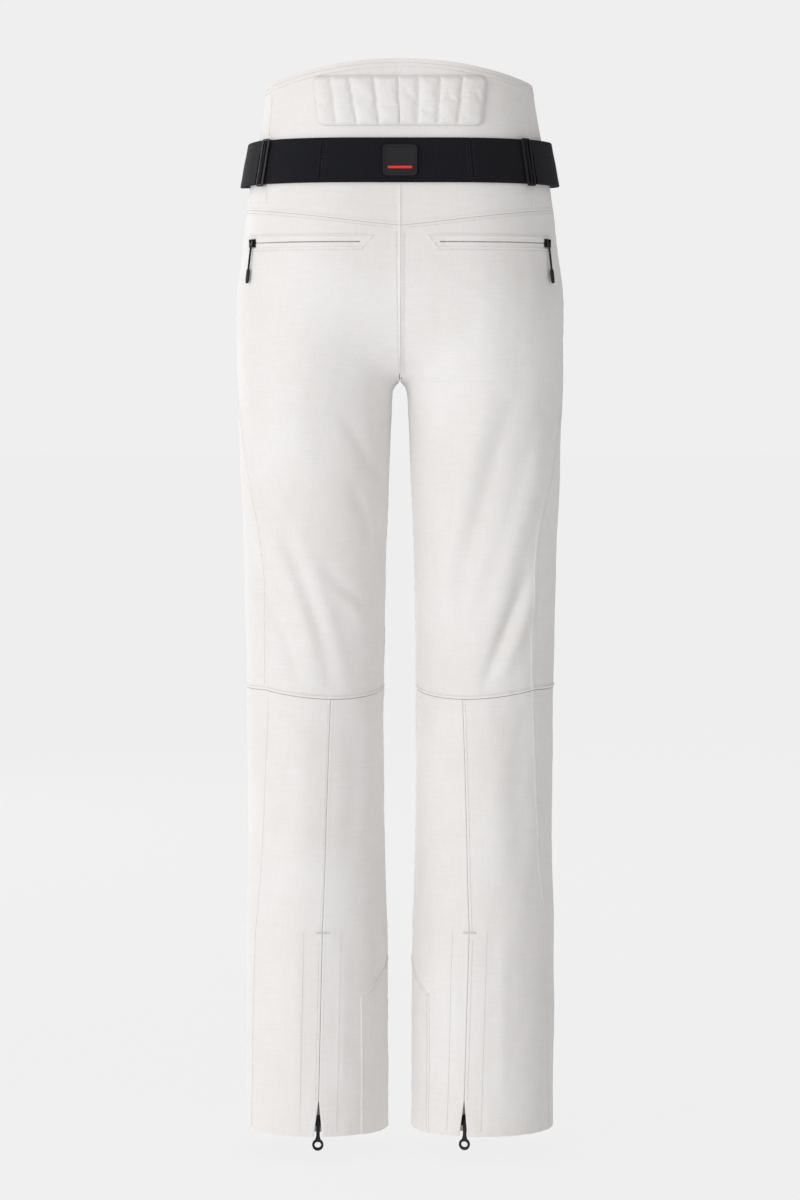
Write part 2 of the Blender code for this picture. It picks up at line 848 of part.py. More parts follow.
def pocket_axis(side):
    return Vector((SIDES[side] * leg_centre(POCKET_Z), 0, POCKET_Z))


def pocket_zip(side):
    first, last = POCKET_ZIP_ANGLES
    end_gap = math.degrees(0.0010 / leg_radius(POCKET_Z))
    stop = math.degrees(ZIP_STOP / leg_radius(POCKET_Z))
    low, high = first + end_gap, last - end_gap
    span = high - low - 2 * stop
    stations = [low, *(low + stop + span * share for share in even(12)), high]

    def place(angle, across, out):
        return pocket_frame(side, angle) @ Vector((across, out, 0))

    zip_strip(f"pocket_zip_{side}", FLUSH_WIDTH, stations, place)


def pocket_slider(side):
    frame = pocket_frame(side, POCKET_SLIDER_ANGLE)
    name = f"pocket_slider_{side}"
    slider = zip_slider(name, frame, 0.0084, 0.0115, False, pocket_axis(side))
    hinge = frame @ Vector((0, slider_top() + HINGE_RISE, 0))
    out = frame.col[1].to_3d()
    along = frame.col[2].to_3d()
    tilt = math.radians(POCKET_PULL_TILT)
    down = Vector((0, 0, -math.cos(tilt))) + out * math.sin(tilt)
    pull_frame = frame_of(along, (-down).cross(along), -down, hinge)
    pull = cord_pull(f"pocket_pull_{side}", pull_frame, 0.0265, 0.0152)
    parent_to(pull, slider)


def parent_to(child, parent):
    bpy.context.view_layer.update()
    child.parent = parent
    child.matrix_parent_inverse = parent.matrix_world.inverted()


def line_frame(start, end, out, at):
    """x across, y out and z up a straight zip, at the point this far along it from its end."""
    up = (start - end).normalized()
    across = out.cross(up).normalized()
    return frame_of(across, up.cross(across), up, end + up * at)


def straight_zip(name, frame, width, length):
    """A zip that stands on the frame's origin and runs up its z axis."""

    def place(along, across, out):
        return frame @ Vector((across, out, along))

    stations = (0.0, ZIP_STOP, length - ZIP_STOP, length)
    return zip_strip(name, width, stations, place)


def fly_line():
    start = Vector((0, -front_depth(FLY_ZIP_TOP_Z), FLY_ZIP_TOP_Z))
    end = Vector((0, -front_depth(FLY_ZIP_BOTTOM_Z), FLY_ZIP_BOTTOM_Z))
    slope = Vector((0, -1, 0))
    inward = slope * FLUSH_LEVEL
    return start + inward, end + inward, slope


def fly():
    start, end, out = fly_line()
    length = (start - end).length
    straight_zip("fly_zip", line_frame(start, end, out, 0), FLUSH_WIDTH, length)
    frame = line_frame(start, end, out, length - FLY_SLIDER_DROP)
    slider = zip_slider("fly_slider", frame, 0.0084, 0.0115, True, frame.translation)
    hinge = frame @ Matrix.Translation((0, slider_top() + HINGE_RISE, 0))
    pull = cord_pull("fly_pull", hinge, 0.010, 0.0127)
    parent_to(pull, slider)


def ankle_line(side):
    """The ends of the ankle zip, behind its flaps."""
    seam = calf_seam(side)
    top, bottom = ANKLE_ZIP_TOP_Z + 0.004, HEM_Z + 0.004
    start = surface(side, seam(top), top, ANKLE_ZIP_LEVEL)
    end = surface(side, seam(bottom), bottom, ANKLE_ZIP_LEVEL)
    middle = (top + bottom) / 2
    turn = math.radians(seam(middle))
    return start, end, Vector((SIDES[side] * math.sin(turn), math.cos(turn), 0))


def ankle_zip(side):
    start, end, out = ankle_line(side)
    length = (start - end).length
    frame = line_frame(start, end, out, 0)
    straight_zip(f"ankle_zip_{side}", frame, ANKLE_ZIP_WIDTH, length)
    frame = line_frame(start, end, out, ANKLE_SLIDER_RISE - 0.004)
    name = f"ankle_slider_{side}"
    slider = zip_slider(name, frame, 0.0090, 0.0105, True, frame.translation)
    hinge = frame @ Matrix.Translation((0, slider_top() + HINGE_RISE, 0))
    pull = ring_pull(f"ankle_pull_{side}", hinge, 0.0315)
    parent_to(pull, slider)


# Belt.


def belt_band(name, columns, level, origin=(0, 0, 0)):
    rows = rows_of((BELT_TOP_Z, BELT_BOTTOM_Z))

    def inner(column, _):
        return level(column)

    def outer(column, _):
        return level(column) + WEBBING

    skin(name, columns, rows, (inner, outer), "webbing", origin=origin)


def centre_elastic():
    def half(side):
        lines = columns_between(back_centre, level_at(BELT_SEAM[side]), even(6)[1:])
        return on_side(side, lines)

    middle = [("left", lambda z: back_centre(z))]
    columns = [*reversed(half("right")), *middle, *half("left")]
    belt_band("belt_elastic", columns, lambda _: BELT_LEVEL)


def side_band(side):
    first = BELT_SEAM[side] + 0.3
    lines = columns_between(level_at(first), level_at(100), even(12))
    belt_band(f"belt_band_{side}", on_side(side, lines), lambda _: BELT_LEVEL)


def front_strap(side):
    """Webbing from the tri-glide to the clasp: over the side band, then down on to the waist."""
    count = 19
    first = GLIDE_ANGLE[side] + 4.6
    clasp = angle_at_x(CLASP_HALF + STRAP_END_GAP, 0, -1)
    angles = [first + (clasp - first) * share for share in even(count)]

    def level(column):
        settle = min(max((angles[column] - 102) / 14, 0.0), 1.0)
        return STRAP_LEVEL + (BELT_LEVEL - STRAP_LEVEL) * settle

    lines = [level_at(angle) for angle in angles]
    belt_band(f"belt_strap_{side}", on_side(side, lines), level)


def tri_glide(side):
    """Webbing adjuster: a frame with a middle bar. It rides round the belt's own axis."""
    width, height = GLIDE_SIZE
    level = STRAP_LEVEL + GLIDE_THICKNESS / 2
    frame = surface_frame(side, GLIDE_ANGLE[side], 0, level)
    slot_width, bar = 0.0032, 0.0020
    slot = rounded_rectangle(slot_width, height - 0.0044, 0.0006, 1)
    shift = (slot_width + bar) / 2
    slots = [[(x + sign * shift, z) for x, z in slot] for sign in (-1, 1)]
    outline = rounded_rectangle(width, height, 0.003)
    obj = plate(f"tri_glide_{side}", frame, (outline, *slots), GLIDE_THICKNESS, "buckle", 0.0003)
    pivot = bpy.data.objects.new(f"belt_pivot_{side}", None)
    pivot.location = (SIDES[side] * leg_centre(0), 0, 0)
    bpy.context.scene.collection.objects.link(pivot)
    parent_to(obj, pivot)


def clasp():
    """Hook clasp at the front: the hook's end laps over the base and swings out on its strap bar."""
    lap = (-0.008, 0.006)
    # At the front, the frame's x axis points to the wearer's right.
    frame = centre_frame(-1, 0, CLASP_LEVEL)
    base_end = CLASP_HALF
    top = CLASP_PLATE + 0.0004
    base = [
        (-base_end, 0),
        (-lap[0], 0),
        (-lap[0], CLASP_PLATE),
        (-lap[1] - 0.0010, CLASP_PLATE),
        (-lap[1] - 0.0010, top + CLASP_PLATE),
        (-lap[1] - 0.0070, top + CLASP_PLATE),
        (-lap[1] - 0.0100, CLASP_PLATE),
        (-base_end, CLASP_PLATE),
    ]
    prism("clasp_base", frame, base, CLASP_HEIGHT, "buckle")
    hook = [
        (base_end, 0),
        (base_end, CLASP_PLATE),
        (0.0150, CLASP_PLATE),
        (0.0120, top + CLASP_PLATE),
        (-lap[1], top + CLASP_PLATE),
        (-lap[1], top),
        (0.0086, top),
        (0.0086, 0),
    ]
    axis = frame @ Vector((base_end - 0.0013, CLASP_PLATE / 2, 0))
    prism("clasp_hook", frame, hook, CLASP_HEIGHT, "buckle", axis)


def badge():
    """Moulded patch with a raised rim and one red bar, on the middle of the belt."""
    level = BELT_LEVEL + WEBBING + 0.0004
    frame = centre_frame(1, 0, level)
    width, height = BADGE_SIZE
    rim, base, rise = 0.0018, 0.0016, 0.0008
    rings = []
    for inset, out in ((0.0, 0.0), (0.0, base + rise), (rim, base + rise), (rim, base)):
        outline = rounded_rectangle(width - 2 * inset, height - 2 * inset, 0.004 - inset)
        rings.append([frame @ Vector((x, out, z)) for x, z in outline])
    loft("belt_badge", rings, "badge", frame.translation)
    bar = frame @ Matrix.Translation((0, base + 0.0007, -0.0075))
    plate("badge_bar", bar, (rounded_rectangle(0.025, 0.0025, 0.0008, 2),), 0.0008, "red_trim")


def waist_tab():
    """Fly tab above the belt, with its snap. It folds open about its sewn edge."""
    z, half = 0.0355, 0.022
    frame = centre_frame(-1, z)
    tab_level, tab = 0.0019, 0.0016
    outline = [(-half, 0), (half, 0), (half, tab), (-half, tab)]
    tab_frame = frame @ Matrix.Translation((0, tab_level, 0))
    hinge = tab_frame @ Vector((-half, tab / 2, 0))
    prism("waist_tab", tab_frame, outline, 0.0175, "shell", hinge)
    disc = [
        (0.5 * math.cos(turn), 0.5 * math.sin(turn))
        for turn in (2 * math.pi * index / 16 for index in range(16))
    ]
    cap = [(0.0110 * x, 0.0110 * z) for x, z in disc]
    stud = [(0.0070 * x, 0.0070 * z) for x, z in disc]
    at = 0.0135
    cap_frame = frame @ Matrix.Translation((at, tab_level + tab + 0.0003 + 0.0007, 0))
    plate("snap_cap", cap_frame, (cap,), 0.0014, "dark_metal", 0.0003)
    stud_frame = frame @ Matrix.Translation((at, 0.0009, 0))
    plate("snap_stud", stud_frame, (stud,), 0.0010, "dark_metal")


def clear_scene():
    for obj in list(bpy.data.objects):
        bpy.data.objects.remove(obj, do_unlink=True)


def build():
    for side in SIDES:
        back_thigh(side)
        front_thigh(side)
        calf_outer(side)
        calf_inner(side)
        front_shin(side)
        kick_patch(side)
        snow_gaiter(side)
        waist_front(side)
        pocket_bag(side)
        pocket_zip(side)
        pocket_slider(side)
        ankle_zip(side)
        side_band(side)
        front_strap(side)
        tri_glide(side)
    waist_back()
    lumbar_pad()
    centre_elastic()
    clasp()
    badge()
    fly()
    waist_tab()


clear_scene()
MATERIALS = make_materials()
build()
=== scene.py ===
"""Ski trousers: tailored shell, quilted pad, belt, zips and studio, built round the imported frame.

Metres, +Z up, back at +Y, the wearer's left at +X. Shapes repeat the CAD's own surface formulas.
A place on the cloth is a side, an angle round that leg (0 behind, 90 outside, 180 in front), a height
and a level, which is how far outside the shell's plain surface it lies.
"""

import json
import math

import bpy
import numpy as np
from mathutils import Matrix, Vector


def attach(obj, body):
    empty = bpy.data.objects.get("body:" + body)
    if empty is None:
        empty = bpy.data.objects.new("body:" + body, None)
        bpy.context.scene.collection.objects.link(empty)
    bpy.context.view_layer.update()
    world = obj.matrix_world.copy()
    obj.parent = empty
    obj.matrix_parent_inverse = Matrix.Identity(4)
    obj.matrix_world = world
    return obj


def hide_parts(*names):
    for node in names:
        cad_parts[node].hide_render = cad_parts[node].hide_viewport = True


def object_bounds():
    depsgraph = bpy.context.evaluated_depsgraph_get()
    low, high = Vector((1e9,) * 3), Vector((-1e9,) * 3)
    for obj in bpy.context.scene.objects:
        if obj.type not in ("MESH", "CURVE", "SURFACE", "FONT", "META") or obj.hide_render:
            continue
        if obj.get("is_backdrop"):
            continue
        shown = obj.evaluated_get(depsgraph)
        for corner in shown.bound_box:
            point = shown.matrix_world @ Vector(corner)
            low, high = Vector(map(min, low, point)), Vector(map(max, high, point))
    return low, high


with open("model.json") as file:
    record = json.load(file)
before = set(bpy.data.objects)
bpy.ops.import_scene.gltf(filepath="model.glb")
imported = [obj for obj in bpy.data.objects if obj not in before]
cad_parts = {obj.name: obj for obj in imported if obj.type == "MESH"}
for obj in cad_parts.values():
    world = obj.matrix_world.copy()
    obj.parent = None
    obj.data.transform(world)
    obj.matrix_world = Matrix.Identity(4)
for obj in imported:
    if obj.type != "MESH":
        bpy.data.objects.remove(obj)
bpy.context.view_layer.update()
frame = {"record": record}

# The CAD's driving dimensions.
BACK_TOP_Z = 0.105
SIDE_TOP_Z = 0.082
FRONT_TOP_Z = 0.048
BELT_TOP_Z = 0.0235
BELT_BOTTOM_Z = -0.0225
YOKE_SIDE_Z = -0.048
YOKE_CENTRE_Z = -0.067
POCKET_Z = -0.083
CROTCH_Z = -0.2265
KNEE_Z = -0.548
ANKLE_ZIP_TOP_Z = -0.800
KICK_Z = -0.868
HEM_Z = -1.013
STATIONS = (
    (0.110, 0.133, 0.042),
    (0.030, 0.147, 0.048),
    (-0.030, 0.158, 0.052),
    (-0.083, 0.164, 0.055),
    (-0.140, 0.1705, 0.068),
    (-0.2265, 0.1705, 0.0878),
    (-0.2625, 0.170, 0.0895),
    (-0.357, 0.167, 0.0900),
    (-0.420, 0.165, 0.0901),
    (-0.548, 0.162, 0.0897),
    (-0.655, 0.161, 0.0892),
    (-0.735, 0.161, 0.0884),
    (-0.800, 0.163, 0.0884),
    (-1.020, 0.162, 0.0876),
)
SEAT_Z = -0.100
FRONT_RISE_Z = -0.170
FRONT_DEPTH = 0.1045
LEG_BLEND_RUN = 0.07
KNEE_FORWARD = 0.012
INSEAM = -90.0
SIDE_SEAM = (
    (-0.050, 90.0),
    (-0.200, 88.0),
    (-0.280, 70.0),
    (-0.376, 47.0),
    (-0.450, 42.5),
    (-0.550, 44.0),
    (-0.710, 53.0),
    (-0.800, 60.0),
    (-1.013, 70.0),
)
CALF_SEAM = {
    "left": ((KNEE_Z, -14.4), (ANKLE_ZIP_TOP_Z, -5.9), (HEM_Z, -1.5)),
    "right": ((KNEE_Z, -20.0), (ANKLE_ZIP_TOP_Z, -12.6), (HEM_Z, -17.0)),
}
KICK_EDGE = {"left": -39.0, "right": -50.0}
KICK_RISE = 0.038
POCKET_ZIP_ANGLES = (-9.0, 69.0)
FLUSH_LEVEL = -0.00115
FLY_ZIP_TOP_Z = -0.0495
FLY_ZIP_BOTTOM_Z = -0.156
FLY_HALF = 0.005
ANKLE_ZIP_LEVEL = -0.0090
ANKLE_OPENING_Z = -0.975
ANKLE_OPENING_HALF = 0.0045
BELT_LEVEL = 0.0012
WEBBING = 0.0022
STRAP_LEVEL = 0.0042
BELT_SEAM = {"left": 16.8, "right": 12.8}
GLIDE_ANGLE = {"left": 58.0, "right": 50.0}
CLASP_HALF = 0.033
STRAP_END_GAP = 0.0004
SIDES = {"left": 1, "right": -1}

# Cloth, and how far a panel's edge stops short of its seam. Levels are the outer and inner face.
CLOTH = 0.0010
STEP = 0.0032
NEAR_EDGE = (0.0, 0.0004, 0.0009, 0.0015, 0.0023, 0.0033, 0.0046, 0.0063)
SEAM_GAP = 0.0003
POCKET_WINDOW = 0.010
LINING_LEVELS = (-0.0014, -0.0021)
LINING_STEP = 0.0065
CUFF_GAP = 0.0165
KICK_LEVELS = (0.0008, -0.0002)
GAITER_LEVEL = -0.0162
FOLD_SEED = {"left": 3, "right": 8}
FOLD_GAIN = 1.5
ACROSS = np.array([1.0, 0, 0])

# Borders, as (groove depth, height of the raised welt beside it).
SEAM = (0.00035, 0.0003)
WELT = (0.0, 0.0006)
FLAP = (0.0001, 0.0003)
PLAIN = (0.0, 0.0)
NO_BORDERS = (PLAIN,) * 4

# Stitches. Waist stitches lie this far below the edge, and placket stitches this far from the seam.
STITCH_PITCH = 0.0031
STITCH_LENGTH = 0.0023
STITCH_LEVEL = 0.0003
STITCH_GAP = 0.0030
FLAP_STITCH_LEVEL = 0.0015
THREAD = (0.0006, 0.0005)
WAIST_STITCHES = (0.0045, 0.009)
PLACKET = {"left": 0.0195, "right": 0.0185}

# Zips, belt and clasp.
TEETH_PITCH = 0.0013
ZIP_TAPE_HALF = 0.00050
ZIP_CHAIN_HALF = 0.00080
ZIP_SLOT_HALF = 0.0006
WELT_HALF = 0.0070
ZIP_WIDTH = 0.0092
ANKLE_ZIP_WIDTH = 0.024
BELT_HEIGHT = BELT_TOP_Z - BELT_BOTTOM_Z
BELT_MIDDLE_Z = (BELT_TOP_Z + BELT_BOTTOM_Z) / 2
STRAP_DROOP = {"left": 0.0016, "right": 0.0004}
CLASP_LEVEL = 0.0016
CLASP_PLATE = 0.0026

# Lumbar pad, with each sewn line's distance across at the pad's top and bottom.
PAD_TOP_Z = 0.087
PAD_BOTTOM_Z = 0.036
PAD_CLEARANCE = 0.0008
PAD_CORNER = 0.007
PAD_TOP_HALF = 0.0890
PAD_BOTTOM_HALF = 0.0840
PAD_LINE_TOPS = (0.071, 0.0525, 0.028, 0.003, -0.020, -0.0415, -0.064)
PAD_LINE_BOTTOMS = (0.065, 0.044, 0.022, 0.001, -0.019, -0.039, -0.059)
WADDING = {
    "quality": 6,
    "mass": 0.2,
    "tension_stiffness": 12,
    "compression_stiffness": 6,
    "shear_stiffness": 5,
    "bending_stiffness": 1.0,
    "use_pressure": True,
    "uniform_pressure_force": 2.5,
    "shrink_min": -0.01,
}

# Studio.
PALE = 0.863
FLOOR_REACH = 40.0
LAMP_TARGET = (0, 0, -0.45)
CAMERA_PLACE = (0.0, 4.35, -0.222)
CAMERA_TARGET = (0, 0, -0.456)

# Folds. Each is (height, width, points), with points as (distance from the centre plane, z).
LEFT_FOLDS = (
    (-0.0016, 0.007, ((0.165, -0.361), (0.151, -0.416), (0.138, -0.452), (0.120, -0.492), (0.100, -0.548))),
    (0.0018, 0.010, ((0.151, -0.335), (0.128, -0.400), (0.108, -0.445), (0.094, -0.490), (0.083, -0.548))),
    (-0.0012, 0.008, ((0.125, -0.375), (0.103, -0.430), (0.086, -0.480), (0.070, -0.545))),
    (0.0014, 0.009, ((0.108, -0.370), (0.085, -0.440), (0.068, -0.490), (0.056, -0.545))),
    (-0.0013, 0.007, ((0.080, -0.415), (0.060, -0.440), (0.038, -0.462))),
    (0.0012, 0.007, ((0.066, -0.440), (0.046, -0.462), (0.036, -0.490))),
    (-0.0012, 0.007, ((0.062, -0.255), (0.042, -0.290), (0.018, -0.330))),
    (-0.0012, 0.007, ((0.054, -0.325), (0.036, -0.365), (0.020, -0.415))),
    (0.0022, 0.030, ((0.100, -0.150), (0.105, -0.240), (0.110, -0.330))),
)
RIGHT_FOLDS = (
    (0.0026, 0.016, ((0.098, -0.190), (0.086, -0.260), (0.076, -0.310), (0.053, -0.406), (0.046, -0.470))),
    (-0.0024, 0.013, ((0.118, -0.240), (0.100, -0.300), (0.084, -0.352), (0.066, -0.414), (0.058, -0.504))),
    (0.0024, 0.011, ((0.150, -0.265), (0.139, -0.334), (0.116, -0.406), (0.098, -0.476), (0.084, -0.520))),
    (-0.0030, 0.007, ((0.134, -0.420), (0.122, -0.455), (0.111, -0.482), (0.095, -0.524), (0.084, -0.548))),
    (0.0020, 0.007, ((0.142, -0.425), (0.127, -0.483), (0.107, -0.534))),
    (-0.0010, 0.007, ((0.030, -0.290), (0.046, -0.335), (0.052, -0.380))),
    (-0.0012, 0.007, ((0.024, -0.450), (0.040, -0.490), (0.052, -0.540))),
    (0.0018, 0.028, ((0.092, -0.120), (0.096, -0.180), (0.094, -0.230))),
)
BACK_FOLDS = {"left": LEFT_FOLDS, "right": RIGHT_FOLDS}
CALF_FOLDS = (
    (0.0008, 0.006, ((0.108, -0.795), (0.107, -0.860), (0.106, -0.990))),
    (0.0008, 0.006, ((0.058, -0.800), (0.060, -0.870), (0.062, -0.990))),
    (-0.0012, 0.014, ((0.128, -0.560), (0.124, -0.650), (0.126, -0.740))),
    (0.0012, 0.016, ((0.105, -0.580), (0.100, -0.660), (0.104, -0.760))),
    (-0.0010, 0.010, ((0.052, -0.570), (0.048, -0.650), (0.052, -0.730))),
    (-0.0009, 0.010, ((0.148, -0.700), (0.140, -0.780), (0.134, -0.860))),
)
FRONT_FOLDS = (
    (-0.0022, 0.010, ((0.030, -0.215), (0.060, -0.205), (0.105, -0.180), (0.140, -0.150))),
    (0.0020, 0.011, ((0.034, -0.240), (0.070, -0.226), (0.118, -0.200))),
    (-0.0016, 0.009, ((0.030, -0.262), (0.066, -0.256), (0.100, -0.240))),
    (0.0022, 0.022, ((0.098, -0.270), (0.102, -0.360), (0.100, -0.470))),
    (-0.0018, 0.010, ((0.040, -0.500), (0.080, -0.520), (0.130, -0.505))),
    (-0.0016, 0.009, ((0.045, -0.590), (0.085, -0.575), (0.135, -0.590))),
    (0.0016, 0.012, ((0.050, -0.560), (0.090, -0.548), (0.130, -0.560))),
    (-0.0015, 0.014, ((0.060, -0.640), (0.054, -0.740), (0.058, -0.850))),
    (0.0016, 0.016, ((0.090, -0.640), (0.092, -0.760), (0.088, -0.880))),
    (-0.0012, 0.012, ((0.126, -0.660), (0.122, -0.780), (0.126, -0.900))),
)


# The shell's surface.


def smooth_curve(stations, column=1):
    """A smooth curve through (height, values) stations, as a function of arrays of heights."""
    rows = np.array(stations)[::-1]
    heights, values = rows[:, 0], rows[:, column]
    rise = np.diff(values) / np.diff(heights)
    slopes = np.concatenate([rise[:1], np.zeros(len(values) - 2), rise[-1:]])
    slopes[1:-1] = (values[2:] - values[:-2]) / (heights[2:] - heights[:-2])

    def read(z):
        at = np.clip(np.searchsorted(heights, z) - 1, 0, len(heights) - 2)
        span = heights[at + 1] - heights[at]
        t = np.clip((z - heights[at]) / span, 0, 1)
        line = values[at] + (values[at + 1] - values[at]) * t * t * (3 - 2 * t)
        return line + span * t * (1 - t) * (slopes[at] * (1 - t) - slopes[at + 1] * t)

    return read


leg_centre = smooth_curve(STATIONS, 2)
half_width = smooth_curve(STATIONS, 1)
side_seam = smooth_curve(SIDE_SEAM)


def read_at(curve, z):
    return float(curve(np.array(z)))


def leg_radius(z):
    return half_width(z) - leg_centre(z)


def knee_offset(z):
    share = np.clip((FRONT_RISE_Z - z) / (FRONT_RISE_Z - ANKLE_ZIP_TOP_Z), 0, 1)
    return -KNEE_FORWARD * np.sin(np.pi * share) ** 2


def seat_depth(z):
    share = np.clip((SEAT_Z - z) / (SEAT_Z - CROTCH_Z), 0, 1)
    return np.where(z >= SEAT_Z, leg_radius(z), leg_radius(SEAT_Z) * np.sqrt(1 - share**2))


def front_depth(z):
    share = np.clip((FRONT_RISE_Z - z) / (FRONT_RISE_Z - CROTCH_Z), 0, 1)
    low = FRONT_DEPTH * np.sqrt(1 - share**2)
    return np.where(z >= SEAT_Z, np.minimum(leg_radius(z), FRONT_DEPTH), low)


def blend_width(behind, z):
    """How far the two leg tubes melt into each other."""
    centre, radius = leg_centre(z), leg_radius(z)
    fade = np.clip(1 - (CROTCH_Z - z) / LEG_BLEND_RUN, 0, 1)
    below = 4 * (leg_centre(CROTCH_Z) - leg_radius(CROTCH_Z)) * fade
    depth = np.where(behind, seat_depth(z), front_depth(z))
    above = 4 * (np.hypot(depth, centre) - radius)
    return np.maximum(np.where(z < CROTCH_Z, below, above), 1e-6)


def distance(x, y, centre, radius, blend):
    near = np.hypot(x - centre, y) - radius
    far = np.hypot(x + centre, y) - radius
    share = np.maximum(blend - np.abs(near - far), 0) / blend
    return np.minimum(near, far) - share**2 * blend / 4


def bisect(inside, low, high):
    for _ in range(26):
        middle = (low + high) / 2
        test = inside(middle)
        low, high = np.where(test, middle, low), np.where(test, high, middle)
    return low


def depth_at_x(x, z, facing, level=0.0):
    """The y of the surface at this distance from the centre plane, back (1) or front (-1)."""
    x, z, facing, level = np.broadcast_arrays(x, z, facing, level)
    tube = (leg_centre(z), leg_radius(z), blend_width(facing > 0, z))
    found = bisect(lambda y: distance(x, y, *tube) < level, np.zeros(z.shape), np.full(z.shape, 0.2))
    return facing * found


def surface(side, angle, z, level=0.0):
    """Points at these angles round one leg's axis, this far outside the shell. Shape (..., 3)."""
    angle, z, level = np.broadcast_arrays(*[np.asarray(v, float) for v in (angle, z, level)])
    sine, cosine = np.sin(np.radians(angle)), np.cos(np.radians(angle))
    tube = (leg_centre(z), leg_radius(z), blend_width(cosine >= 0, z))
    centre = tube[0]
    limit = np.minimum(0.25, centre / np.maximum(-sine, 1e-6))
    on_plane = (limit < 0.25) & (distance(0.0, limit * cosine, *tube) < level)
    reach = bisect(
        lambda r: distance(centre + r * sine, r * cosine, *tube) < level, np.zeros(z.shape), limit
    )
    x = np.maximum(centre + reach * sine, 0.0)
    y = reach * cosine
    if on_plane.any():
        x = np.where(on_plane, 0.0, x)
        y = np.where(on_plane, depth_at_x(0.0, z, np.where(cosine >= 0, 1, -1), level), y)
    return np.stack([SIDES[side] * x, y + knee_offset(z), z], axis=-1)


def outward(side, angle, z, level=0.0):
    """The unit vector out of the cloth."""
    turn, rise = 0.4, 0.001
    around = surface(side, angle + turn, z, level) - surface(side, angle - turn, z, level)
    up = surface(side, angle, z + rise, level) - surface(side, angle, z - rise, level)
    normal = np.cross(up, around) * -SIDES[side]
    return normal / np.linalg.norm(normal, axis=-1, keepdims=True)


# Seams.


def waist_seam(z):
    return 71.0 + (54.0 - 71.0) * (z - 0.090) / (-0.045 - 0.090)


def calf_seam(side):
    knee, zip_top, hem = CALF_SEAM[side]
    heights = [hem[0], zip_top[0], knee[0]]
    angles = [hem[1], zip_top[1], knee[1]]
    return lambda z: np.interp(z, heights, angles)


def back_centre(z):
    above = np.degrees(np.arctan2(-leg_centre(z), seat_depth(z)))
    return np.where(z <= CROTCH_Z, INSEAM, above)


def front_centre(z):
    above = np.degrees(np.arctan2(-leg_centre(z), -front_depth(z))) % 360
    return np.where(z <= CROTCH_Z, INSEAM + 360, above)


def angle_at_x(x, z, facing):
    x, z = np.broadcast_arrays(np.asarray(x, float), np.asarray(z, float))
    angle = np.degrees(np.arctan2(x - leg_centre(z), depth_at_x(x, z, facing)))
    return angle if facing > 0 else angle % 360


def fly_edge(z):
    return np.where(z < FLY_ZIP_BOTTOM_Z - 0.001, front_centre(z), angle_at_x(FLY_HALF, z, -1))


def side_reach(angle, z):
    return np.maximum(leg_centre(z) + leg_radius(z) * np.sin(np.radians(angle)), 0)


def top_edge(angle):
    ratio = side_reach(angle, SIDE_TOP_Z) / side_reach(90, SIDE_TOP_Z)
    centre = np.where(angle <= 90, BACK_TOP_Z, FRONT_TOP_Z)
    return SIDE_TOP_Z + (centre - SIDE_TOP_Z) * (1 - np.minimum(ratio, 1) ** 2)


def yoke_seam(angle):
    share = side_reach(angle, YOKE_SIDE_Z) / side_reach(90, YOKE_SIDE_Z)
    back = YOKE_CENTRE_Z + (YOKE_SIDE_Z - YOKE_CENTRE_Z) * share
    return np.where(angle > 90, YOKE_SIDE_Z, back)


def knee_seam(angle):
    off = np.clip((angle + 22.0) / 66.0, -1, 1)
    return KNEE_Z - 0.0085 * np.cos(np.pi / 2 * off)


def kick_seam(side):
    half = KICK_EDGE[side] - INSEAM

    def height(angle):
        off = np.abs((angle - INSEAM + 180) % 360 - 180)
        return KICK_Z + KICK_RISE * np.maximum(1 - off / half, 0)

    return height


def flap_edge(side, sign):
    def angle(z):
        share = np.clip((ANKLE_OPENING_Z - z) / (ANKLE_OPENING_Z - HEM_Z), 0, 1)
        gap = 0.0002 + (ANKLE_OPENING_HALF - 0.0002) * share
        return calf_seam(side)(z) + sign * np.degrees(gap / leg_radius(z))

    return angle


def level_at(value):
    return lambda at: value + 0 * at


def shifted(seam, across):
    return lambda z: seam(z) + np.degrees(across / leg_radius(z))


def lowered(seam, drop):
    return lambda angle: seam(angle) - drop


def front_frame(depth, z):
    """Origin, up and out of the centre front at this height, where depth gives its distance forward."""
    low, high = (read_at(depth, z + step) for step in (-0.001, 0.001))
    up = np.array([0, low - high, 0.002])
    up /= np.linalg.norm(up)
    return np.array([0, -(low + high) / 2, z]), up, np.cross(ACROSS, up)


def centre_point(x, z, facing, level):
    """A point of the back (1) or the front (-1) of the plain surface at this x."""
    point = surface("left", angle_at_x(np.abs(x), z, facing), z, level)
    point[..., 0] *= np.where(x < 0, -1, 1)
    return point


# Folds.


def bump(value, width):
    """A bell of height 1 round zero."""
    return np.exp(-((value / width) ** 2))


def smoothstep(low, high, value):
    t = np.clip((value - low) / (high - low), 0, 1)
    return t * t * (3 - 2 * t)


def ridge(x, z, height, width, points):
    """A soft fold along a line of points, fading at its ends."""
    points = np.array(points)
    lengths = np.linalg.norm(np.diff(points, axis=0), axis=1)
    starts = np.concatenate([[0], np.cumsum(lengths)])
    best = np.full(x.shape, 1e9)
    along = np.zeros(x.shape)
    for index, length in enumerate(lengths):
        start, step = points[index], points[index + 1] - points[index]
        t = np.clip(((x - start[0]) * step[0] + (z - start[1]) * step[1]) / length**2, 0, 1)
        gap = np.hypot(x - start[0] - t * step[0], z - start[1] - t * step[1])
        along = np.where(gap < best, starts[index] + t * length, along)
        best = np.minimum(best, gap)
    fade = np.sin(np.pi * np.clip(along / starts[-1], 0.0, 1.0)) ** 0.6
    return height * fade * bump(best, width)


